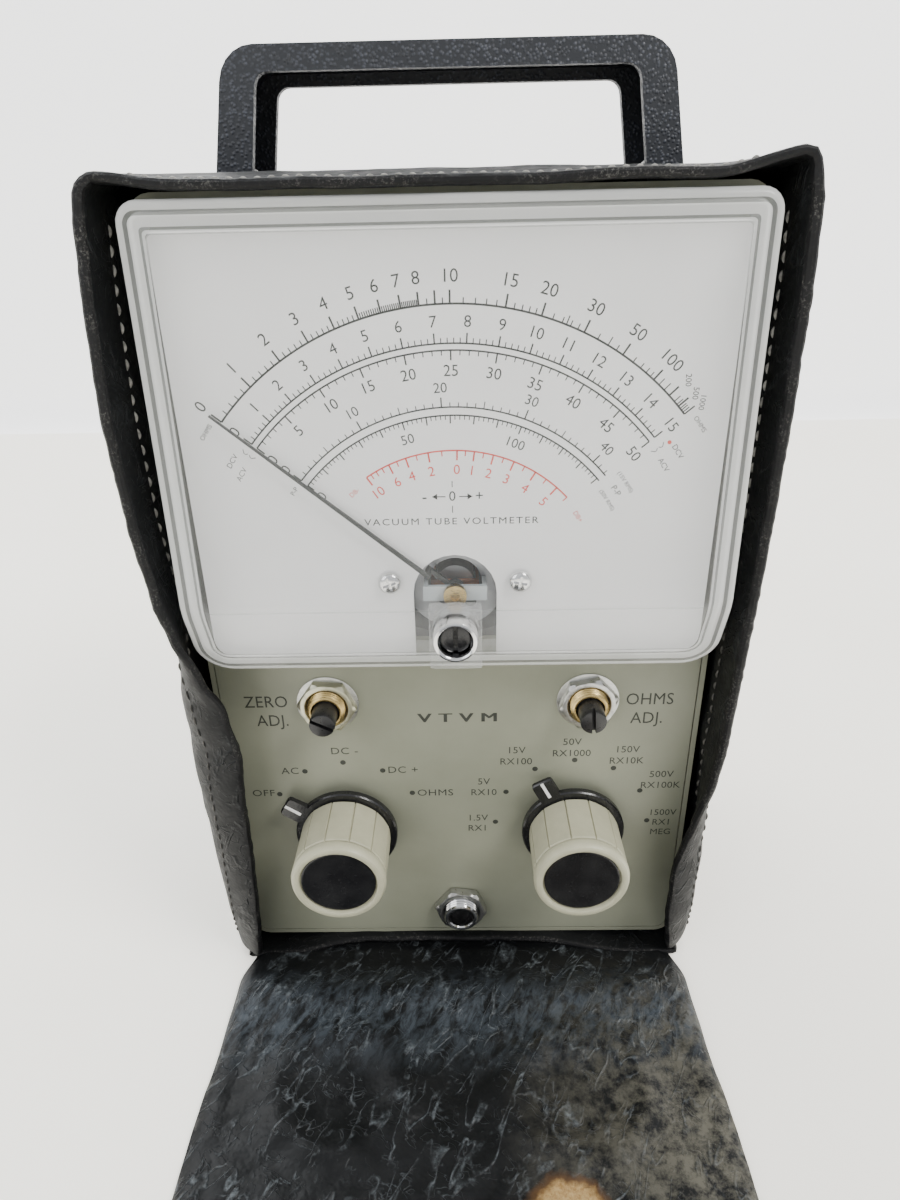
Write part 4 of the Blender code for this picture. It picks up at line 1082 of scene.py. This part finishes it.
def between(table, value):
    """Smooth reading of a table of rows whose first entry grows: the other entries at a value."""
    if value <= table[0][0]:
        return table[0][1:]
    for low, high in zip(table, table[1:]):
        if value <= high[0]:
            t = (value - low[0]) / (high[0] - low[0])
            t = t * t * (3 - 2 * t) * 0.5 + t * 0.5
            return tuple(a + (b - a) * t for a, b in zip(low[1:], high[1:]))
    return table[-1][1:]


def ease(low, high, value):
    t = min(max((value - low) / (high - low), 0.0), 1.0)
    return t * t * (3 - 2 * t)


def hump(value, centre, width):
    return math.exp(-((value - centre) / width) ** 2)


def ripple(x, y, z=0.0, size=10.0, octaves=2):
    """Smooth noise about zero with features of a size in millimetres."""
    return noise.fractal(Vector((x / size, y / size, z)), 1.0, 2.0, octaves)


def sleeve_path():
    """Points round the case's section with their outward directions, anticlockwise from the base's middle."""
    path = []
    half, low, high, r = OUTER_HALF, CASE_LOW, CASE_TOP, CORNER
    step = 1.55

    def run(start, end, direction):
        length = math.hypot(end[0] - start[0], end[1] - start[1])
        count = max(1, round(length / step))
        for i in range(count):
            t = i / count
            path.append(((start[0] + (end[0] - start[0]) * t, start[1] + (end[1] - start[1]) * t), direction))

    def turn(centre, first):
        for i in range(4):
            a = math.radians(first + 90 * i / 4)
            direction = (math.cos(a), math.sin(a))
            path.append(((centre[0] + r * direction[0], centre[1] + r * direction[1]), direction))

    run((0, low), (half - r, low), (0, -1))
    turn((half - r, low + r), -90)
    run((half, low + r), (half, high - r), (1, 0))
    turn((half - r, high - r), 0)
    run((half - r, high), (-half + r, high), (0, 1))
    turn((-half + r, high - r), 90)
    run((-half, high - r), (-half, low + r), (-1, 0))
    turn((-half + r, low + r), 180)
    run((-half + r, low), (0, low), (0, -1))
    return path


def edge_at(x, up, direction):
    """The front edge at one place round the case: how far it leaves the base section, and how far out."""
    share = abs(direction[0]) ** 2
    wall = between(RIGHT_EDGE if x > 0 else LEFT_EDGE, up)
    wall_drift, wall_out = wall[0] - OUTER_HALF, wall[1]
    if direction[1] > 0:
        corner = ease(44, 62, abs(x))
        peak = (3.2 if x > 0 else 1.4) * corner
        flat_drift = -1.5 + peak + 0.35 * ripple(x, 0, 4.0, 22)
        flat_out = 12.6 - 0.6 * corner + 0.5 * ripple(x, 3, 1.0, 30)
    else:
        centre = 1 - ease(22, 50, abs(x + 3))
        flat_drift = -0.3 - 1.1 * centre + 0.25 * ripple(x, 7, 2.0, 12)
        flat_out = 5.4 - 3.8 * centre + 0.5 * ripple(x, 5, 3.0, 14)
    return (wall_drift * share + flat_drift * (1 - share), wall_out * share + flat_out * (1 - share))


def wrinkle(x, up, out, direction):
    """Relief of the leather in millimetres: gentle waves, and slack diagonal folds low on the side walls."""
    along = up if abs(direction[0]) > 0.5 else x
    wave = 0.30 * ripple(along, out, 2.0 + direction[0], 24)
    wave += 0.10 * ripple(along, out * 1.3, 8.0, 6, 3)
    if abs(direction[0]) > 0.5:
        slack = hump(up, 78 if x < 0 else 40, 34) * ease(-45, 2, out)
        lean = 0.85 if x < 0 else 0.6
        across = up * math.cos(lean) + out * math.sin(lean)
        down = -up * math.sin(lean) + out * math.cos(lean)
        wave += slack * (1.0 * ripple(across, down * 0.28, 5.0, 9, 3))
        wave += 0.5 * ease(-80, -20, out) * hump(up, 95, 80) * ripple(up, out * 0.5, 11.0, 40)
    elif direction[1] > 0.5:
        wave += 0.25 * ripple(x, out, 13.0, 30)
    return wave


def wall_section(x, up, direction):
    """Outer and inner points (drift, out) of the leather from the back to the front edge at one place."""
    drift, edge_out = edge_at(x, up, direction)
    curl = min(max(-drift / 10.0, 0.0), 1.0) * abs(direction[0])
    start = -6.0
    outer = []
    backs = [CASE_BACK + 1.5, CASE_BACK + 4]
    count = 26
    backs += [CASE_BACK + 4 + (start - CASE_BACK - 4) * (i + 1) / count for i in range(count)]
    for out in backs:
        sag = 0.0 if out > CASE_BACK + 2 else -1.2
        outer.append((sag + wrinkle(x, up, out, direction) * ease(CASE_BACK, CASE_BACK + 12, out), out))
    base = outer[-1][0]
    steps = 22
    for i in range(1, steps + 1):
        t = i / steps
        h00, h10 = 2 * t ** 3 - 3 * t * t + 1, t ** 3 - 2 * t * t + t
        h01, h11 = -2 * t ** 3 + 3 * t * t, t ** 3 - t * t
        leave, arrive = 22.0 * curl + 1.0 * (1 - curl), -34.0 * curl + 1.5 * (1 - curl)
        d = h00 * base + h10 * leave + h01 * drift + h11 * arrive
        out = h00 * start + h10 * 18.0 + h01 * edge_out + h11 * (2.0 * curl + 15.0 * (1 - curl))
        fade = 0.35 + 0.65 * (1 - t)
        d += (wrinkle(x, up, out, direction) - wrinkle(x, up, start, direction)) * fade
        outer.append((d, out))
    far = [0.0]
    for a, b in zip(reversed(outer[:-1]), reversed(outer[1:])):
        far.append(far[-1] + math.hypot(a[0] - b[0], a[1] - b[1]))
    far.reverse()
    inner = []
    for i, (d, out) in enumerate(outer):
        before, after = outer[max(i - 1, 0)], outer[min(i + 1, len(outer) - 1)]
        run = Vector((after[0] - before[0], after[1] - before[1])).normalized()
        hem = 1 - ease(HEM_WIDTH - 0.6, HEM_WIDTH + 0.6, far[i])
        thick = SKIN + HEM_STEP * hem * max(abs(direction[0]), 0.35)
        inner.append((d - run.y * thick, out + run.x * thick))
    return outer, inner, far


def sleeve_point(x, up, direction, drift, out):
    return Vector((x + direction[0] * drift, up + direction[1] * drift, out))


def make_case():
    bm = bmesh.new()
    rings = []
    nose_steps = 5
    for (x, up), direction in sleeve_path():
        outer, inner, _ = wall_section(x, up, direction)
        (d0, o0), (d1, o1) = outer[-1], inner[-1]
        middle = ((d0 + d1) / 2, (o0 + o1) / 2)
        radius = math.hypot(d0 - d1, o0 - o1) / 2
        first = math.atan2(o0 - middle[1], d0 - middle[0])
        rough = 0.22 * noise.noise(Vector((x * 0.9, up * 0.9, 3.0)))
        nose = [(middle[0] + (radius + rough) * math.cos(first + math.pi * k / nose_steps),
                 middle[1] + (radius + rough) * math.sin(first + math.pi * k / nose_steps))
                for k in range(1, nose_steps)]
        ring = [sleeve_point(x, up, direction, *p) for p in (*outer, *nose, *reversed(inner))]
        rings.append([bm.verts.new(p) for p in ring])
    size = len(rings[0])
    body = len(wall_section(0, CASE_LOW, (0, -1))[0])
    for a, b in zip(rings, rings[1:] + rings[:1]):
        for j in range(size):
            k = (j + 1) % size
            face = bm.faces.new((a[j], b[j], b[k], a[k]))
            face.material_index = 1 if body - 1 <= j < body - 1 + nose_steps else 0
    case = finish_piece(bm, "leatherette_case", [LEATHER, RAW_EDGE], None, angle=60)
    cutters = []
    foot_low, foot_high = panel_box("carrying_handle")
    for side in (-1, 1):
        cut = bmesh.new()
        near, far = side * HANDLE_SLOT[0], side * HANDLE_SLOT[1]
        outline = [(near, foot_high.y - 4), (far, foot_high.y - 4), (far, foot_low.y - 6),
                   (near, foot_low.y - 6)]
        slab(cut, outline if side < 0 else outline[::-1], foot_low.z - 0.7, foot_high.z + 0.7)
        cutters.append(finish_piece(cut, f"handle_slot_{side}", LEATHER, None))
    subtract(case, *cutters)
    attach(case, "instrument")
    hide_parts("case_bottom", "case_left_side", "case_right_side", "case_top")


def make_case_back():
    """The back panel, its margin turned forward into the seam, and softly domed."""
    inlet_low, inlet_high = panel_box("cord_grommet")
    inlet = ((inlet_low.x + inlet_high.x) / 2, (inlet_low.y + inlet_high.y) / 2)
    half, low, high = OUTER_HALF - 0.9, CASE_LOW + 0.9, CASE_TOP - 0.9
    columns, rows = 84, 130
    bm = bmesh.new()
    sides = []
    for layer in (0, 1):
        grid = []
        for j in range(rows + 1):
            line = []
            for i in range(columns + 1):
                u, v = i / columns, j / rows
                x, up = -half + 2 * half * u, low + (high - low) * v
                margin = min(half - abs(x), up - low, high - up)
                roll = 1.6 * (1 - ease(0, 2.6, margin))
                dome = 0.5 * math.sin(math.pi * u) * math.sin(math.pi * v) * (ripple(x, up, 31.0, 60) + 0.6)
                relief = 0.10 * ripple(x, up, 17.0, 7, 3) + 0.25 * ripple(x, up, 3.0, 26)
                out = CASE_BACK + 0.25 + roll - max(dome, -0.2) - relief * ease(0, 6, margin) * 0.8
                line.append(bm.verts.new((x, up, max(out, CASE_BACK - 0.6) + layer * 1.9)))
            grid.append(line)
        sides.append(grid)
    for layer, grid in enumerate(sides):
        for j in range(rows):
            for i in range(columns):
                bm.faces.new((grid[j][i], grid[j][i + 1], grid[j + 1][i + 1], grid[j + 1][i]))
    a, b = sides
    border = [(0, i) for i in range(columns)] + [(j, columns) for j in range(rows)]
    border += [(rows, i) for i in range(columns, 0, -1)] + [(j, 0) for j in range(rows, 0, -1)]
    for (j0, i0), (j1, i1) in zip(border, border[1:] + border[:1]):
        bm.faces.new((a[j0][i0], a[j1][i1], b[j1][i1], b[j0][i0]))
    panel = finish_piece(bm, "leatherette_case_back", LEATHER, None, angle=60)
    drill = bmesh.new()
    lathe(drill, inlet, [(0, CASE_BACK + 10), (INLET_RADIUS, CASE_BACK + 10), (INLET_RADIUS, CASE_BACK - 10),
                         (0, CASE_BACK - 10)], 48)
    subtract(panel, finish_piece(drill, "inlet_drill", LEATHER, None))
    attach(panel, "instrument")
    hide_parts("case_back")


def add_stitch(bm, start, end, lift, radius=0.3):
    """One stitch: a short swollen thread between two points, arched away from the leather."""
    rings = []
    run = (end - start)
    side = run.cross(lift).normalized()
    for i, swell in enumerate((0.25, 0.8, 1.0, 1.0, 0.8, 0.25)):
        t = i / 5
        middle = start + run * t + lift * (0.55 * radius * math.sin(math.pi * t))
        ring = []
        for k in range(6):
            a = math.tau * k / 6
            ring.append(bm.verts.new(middle + (side * math.cos(a) + lift * math.sin(a)) * radius * swell))
        rings.append(ring)
    for a, b in zip(rings, rings[1:]):
        bridge(bm, a, b)
    bm.faces.new(rings[0])
    bm.faces.new(rings[-1])


def make_stitches():
    bm = bmesh.new()
    pitch, length, from_edge = 3.3, 2.1, 8.0

    def seam_point(x, up, direction, inside, distance):
        outer, inner, far = wall_section(x, up, direction)
        index = min(range(len(far)), key=lambda k: abs(far[k] - distance))
        surface = inner if inside else outer
        (d, out), (dn, outn) = surface[index], surface[max(index - 1, 0)]
        share = (far[index] - distance) / max(far[max(index - 1, 0)] - far[index], 0.01)
        d, out = d - (dn - d) * share, out - (outn - out) * share
        return sleeve_point(x, up, direction, d, out)

    for side in (-1, 1):
        direction = (side, 0)
        x = side * OUTER_HALF
        count = int((CASE_TOP - CASE_LOW - 14) / pitch)
        for i in range(count):
            up = CASE_LOW + 8 + pitch * i
            for inside in (True, False):
                drift = 0.35 * noise.noise(Vector((up * 0.3, side, inside)))
                a = seam_point(x, up, direction, inside, from_edge + drift)
                b = seam_point(x, up + length, direction, inside, from_edge + drift)
                add_stitch(bm, a, b, Vector((-side if inside else side, 0, 0)), 0.34 if inside else 0.28)
    # along the top's front edge, through both layers
    count = int(2 * (OUTER_HALF - 8) / 2.4)
    for i in range(count):
        x = -OUTER_HALF + 8 + 2.4 * i
        a = seam_point(x, CASE_TOP, (0, 1), False, 1.6)
        b = seam_point(x + 1.5, CASE_TOP, (0, 1), False, 1.85)
        add_stitch(bm, a, b, Vector((0, 0.8, 0.6)), 0.3)
    # round the back panel's margin
    inset = 4.2
    half, low, high = OUTER_HALF - inset, CASE_LOW + inset, CASE_TOP - inset
    corners = [(-half, low), (half, low), (half, high), (-half, high)]
    for first, second in zip(corners, corners[1:] + corners[:1]):
        span = math.hypot(second[0] - first[0], second[1] - first[1])
        count = int(span / pitch)
        for i in range(count):
            t0, t1 = (i * pitch + 0.6) / span, (i * pitch + 0.6 + length) / span
            ends = [Vector((first[0] + (second[0] - first[0]) * t, first[1] + (second[1] - first[1]) * t,
                            CASE_BACK + 0.05)) for t in (t0, t1)]
            add_stitch(bm, *ends, Vector((0, 0, -1)), 0.28)
    finish_piece(bm, "case_stitching", THREAD, "instrument", angle=60)


# ------------------------------------------------------------------ front flap

FLAP_LOW, FLAP_HIGH = panel_box("front_flap")
TABLE_UP = FLAP_LOW.y
FLAP_SKIN = 1.7


def flap_half_width(out):
    """Half the flap's width: notched beside the case, widening past the fold."""
    notch = 57.0 + 3.6 * ease(3, 15, out) + 1.6 * ease(24, 60, out)
    return notch + 0.45 * ripple(out, 0, 5.0, 16)


def flap_relief(x, out):
    """Height of the flap's upper face above the table, in millimetres."""
    rise = FLAP_SKIN
    towards_edge = 0.45 + 0.55 * (1 - ease(44, 60, abs(x)))
    rise += (2.6 + 0.8 * ripple(x, 0, 9.0, 30)) * hump(out, 19.5, 6.5) * towards_edge
    for cx, cy in ((-29.0, 45.0), (27.5, 46.5)):
        r = math.hypot((x - cx), (out - cy) * 1.15)
        rise += 1.7 * hump(r, 15.5, 4.2) * (0.75 + 0.5 * ripple(x, out, 2.0, 14)) - 0.5 * (1 - ease(6, 13, r))
    rise += (0.9 + 0.9 * ripple(x, out, 21.0, 34)) * hump(out, 31, 10)
    rise += 0.9 * max(ripple(x + 0.3 * out, out, 33.0, 45), 0) * ease(50, 80, out)
    lean = math.radians(38)
    across = x * math.sin(lean) + out * math.cos(lean)
    along = x * math.cos(lean) - out * math.sin(lean)
    crease = ripple(across, along * 0.35, 4.0, 6.5, 3)
    rise += 0.42 * (1 - min(abs(crease) * 2.6, 1.0)) * ease(10, 24, out)
    rise += 0.10 * ripple(x, out, 6.0, 2.6, 2) * ease(6, 20, out)
    return max(rise, FLAP_SKIN * 0.75)


def make_flap():
    start, end = 0.6, FLAP_HIGH.z
    corner = 16.0
    bm = bmesh.new()
    columns = 96
    levels = []
    out = start
    while out < end:
        levels.append(out)
        out += 1.25 if out < 75 else 1.9
    levels.append(end)
    top, base = [], []
    for out in levels:
        half = flap_half_width(out)
        beyond = out - (end - corner)
        if beyond > 0:
            half = half - corner + math.sqrt(max(corner ** 2 - beyond ** 2, 0.0))
        upper, lower = [], []
        for i in range(columns + 1):
            u = 2 * i / columns - 1
            x = half * math.copysign(abs(u) ** 0.97, u) if u else 0.0
            margin = min(half - abs(x), end - out)
            roll = 1 - ease(0, 2.2, margin) if out > 4 else 0.0
            hem = 0.35 * (1 - ease(5.0, 6.0, margin)) * ease(26, 30, out)
            height = flap_relief(x, out) + hem
            height -= (height - FLAP_SKIN * 0.55) * roll * 0.8
            tuck = 0.9 * (1 - ease(1.5, 6, out))
            upper.append(bm.verts.new((x, TABLE_UP + height - tuck, out)))
            lift = max(height - FLAP_SKIN, 0.0) * 0.85
            lower.append(bm.verts.new((x, TABLE_UP + min(lift, height - 0.5), out)))
        top.append(upper)
        base.append(lower)
    for index, grid in enumerate((top, base)):
        for a, b in zip(grid, grid[1:]):
            for i in range(columns):
                bm.faces.new((a[i], a[i + 1], b[i + 1], b[i])).material_index = index
    last = len(levels) - 1
    border = [(0, i) for i in range(columns)] + [(j, columns) for j in range(last)]
    border += [(last, i) for i in range(columns, 0, -1)] + [(j, 0) for j in range(last, 0, -1)]
    for (j0, i0), (j1, i1) in zip(border, border[1:] + border[:1]):
        bm.faces.new((top[j0][i0], top[j1][i1], base[j1][i1], base[j0][i0]))
    flap = finish_piece(bm, "flap_leatherette", [FLAP_LEATHER, FLAP_OUTSIDE], None, angle=60)
    laid = flap.data.attributes.new(LAID, "FLOAT_VECTOR", "POINT")
    for value, vertex in zip(laid.data, flap.data.vertices):
        value.vector = vertex.co
    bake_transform(flap)
    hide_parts("flap_hinge_strip", "front_flap")


FLAP_LEAN = (0, 0, -0.49)
LAID = "laid_place"


def flap_sheen(made, colour):
    """A painted sheen: a paler blue-grey band where the flap bends away from the case, standing in for the panel
    and room light it reflects, broken up by its grain.
    """
    y = made.add("ShaderNodeSeparateXYZ", Vector=made.place).outputs["Y"]
    near = made.math("ABSOLUTE", made.math("ADD", y, 0.0665))
    band = made.ramp(near, 0.002, 0.016, 1.0, 0.0)
    leaning = made.leaning((1.0, 2.6, 1.0), FLAP_LEAN)
    broken = made.ramp(made.noise(2.2, 5, 0.7, 0.5, where=leaning), 0.40, 0.62)
    share = made.math("MULTIPLY", band, made.math("MULTIPLY", broken, 0.75))
    return made.blend(share, colour, (0.060, 0.072, 0.085))


def flap_wear(made, colour):
    """Scuffed grey-brown patches towards the right edge, and a worn-through tan spot."""
    x, y = made.axis("X"), made.axis("Y")
    right = made.ramp(x, 0.008, 0.050)
    near = made.ramp(made.math("ABSOLUTE", made.math("ADD", y, 0.098)), 0.010, 0.052, 1.0, 0.0)
    blotch = made.ramp(made.noise(4.0, 6, 0.75), 0.40, 0.60)
    patch = made.math("MULTIPLY", made.math("MULTIPLY", right, near), blotch)
    colour = made.blend(made.math("MULTIPLY", patch, 0.8), colour, (0.125, 0.118, 0.092))
    spot_x, spot_y = made.math("SUBTRACT", x, 0.0225), made.math("ADD", y, 0.1135)
    wobble = made.math("MULTIPLY", made.math("SUBTRACT", made.noise(5.0, 4), 0.5), 0.006)
    squares = made.math("ADD", made.math("MULTIPLY", spot_x, spot_x), made.math("MULTIPLY", spot_y, spot_y))
    distance = made.math("ADD", made.math("SQRT", squares), wobble)
    rim = made.ramp(distance, 0.0092, 0.0110, 1.0, 0.0)
    colour = made.blend(rim, colour, (0.085, 0.045, 0.020))
    bare = made.ramp(distance, 0.0080, 0.0094, 1.0, 0.0)
    fibre = made.ramp(made.noise(0.9, 5, 0.7), 0.35, 0.65)
    return made.blend(bare, colour, made.blend(fibre, (0.23, 0.13, 0.045), (0.42, 0.29, 0.13)))


FLAP_LEATHER = leather_finish("creased_glossy_leatherette", 0.36, (1.0, 3.2, 1.0), FLAP_LEAN, 4.6, 0.62,
                              flap_sheen, flap_wear, LAID)
FLAP_OUTSIDE = leather_finish("flap_outside_leatherette", 0.46, (1.0, 3.0, 1.0), FLAP_LEAN, 6.0, 0.07,
                              laid=LAID)

make_case()
make_case_back()
make_stitches()
make_flap()


# ------------------------------------------------------------------ floor, backdrop, light and camera


def make_stage():
    floor_finish = plain_finish("pale_table", (0.88, 0.85, 0.77), (0.91, 0.885, 0.81), 0.5, size=140.0,
                                grain=6.0, Emission_Color=(1.0, 0.97, 0.89, 1), Emission_Strength=0.55)
    wall_finish = plain_finish("white_wall", (0.90, 0.90, 0.90), (0.93, 0.93, 0.93), 0.8, size=200.0,
                               grain=8.0, Emission_Color=(1.0, 1.0, 1.0, 1), Emission_Strength=0.9)
    far, radius, half = 0.60, 0.03, 3.0
    profile = [(-3.0, 0.0, 0), (far - radius, 0.0, 0)]
    profile += [(far - radius + radius * math.sin(a), radius - radius * math.cos(a), 1)
                for a in [math.pi / 2 * i / 8 for i in range(1, 9)]]
    profile.append((far, 1.6, 1))
    bm = bmesh.new()
    rows = [[bm.verts.new((x, y, z)) for x in (-half, half)] for y, z, _ in profile]
    for (a, b), (_, _, index) in zip(zip(rows, rows[1:]), profile[1:]):
        bm.faces.new((a[0], a[1], b[1], b[0])).material_index = index
    mesh = bpy.data.meshes.new("floor_and_wall")
    bm.to_mesh(mesh)
    bm.free()
    mesh.materials.append(floor_finish)
    mesh.materials.append(wall_finish)
    mesh.shade_smooth()
    floor = bpy.data.objects.new("floor_and_wall", mesh)
    bpy.context.scene.collection.objects.link(floor)


def area_light(name, where, target, width, height, watts, colour=(1, 1, 1)):
    light = bpy.data.lights.new(name, "AREA")
    light.shape = "RECTANGLE"
    light.size, light.size_y = width, height
    light.energy = watts
    light.color = colour
    obj = bpy.data.objects.new(name, light)
    bpy.context.scene.collection.objects.link(obj)
    obj.location = where
    obj.rotation_euler = (Vector(target) - Vector(where)).to_track_quat("-Z", "Y").to_euler()


def make_lights():
    world = bpy.data.worlds.new("soft_room")
    world.use_nodes = True
    world.node_tree.nodes["Background"].inputs["Color"].default_value = (0.95, 0.97, 1.0, 1)
    world.node_tree.nodes["Background"].inputs["Strength"].default_value = 0.85
    bpy.context.scene.world = world
    area_light("key_upper_right", (0.75, -0.55, 1.15), (0, -0.05, 0.08), 0.5, 0.5, 17.0, (1.0, 0.985, 0.96))
    area_light("window_behind", (-0.35, 0.45, 0.95), (0, -0.15, 0.0), 1.1, 0.5, 9.0, (0.93, 0.97, 1.0))
    area_light("fill_left", (-0.9, -0.7, 0.7), (0, -0.05, 0.1), 0.8, 0.8, 5.5, (0.97, 0.98, 1.0))


def make_camera():
    pitch, yaw, roll = math.radians(26.1), math.radians(-1.0), math.radians(-1.25)
    data = bpy.data.cameras.new("camera")
    data.sensor_width = 36.0
    data.lens = 23.76
    data.clip_start = 0.01
    camera = bpy.data.objects.new("camera", data)
    bpy.context.scene.collection.objects.link(camera)
    forward = Vector((math.sin(yaw) * math.cos(pitch), math.cos(yaw) * math.cos(pitch), -math.sin(pitch)))
    right = Vector((math.cos(yaw), -math.sin(yaw), 0))
    upward = right.cross(forward)
    tilted_right = math.cos(roll) * right + math.sin(roll) * upward
    tilted_up = math.cos(roll) * upward - math.sin(roll) * right
    turn = Matrix((tilted_right, tilted_up, -forward)).transposed().to_4x4()
    camera.matrix_world = Matrix.Translation((0.00156, -0.203, 0.1892)) @ turn
    bpy.context.scene.camera = camera


make_stage()
make_lights()
make_camera()
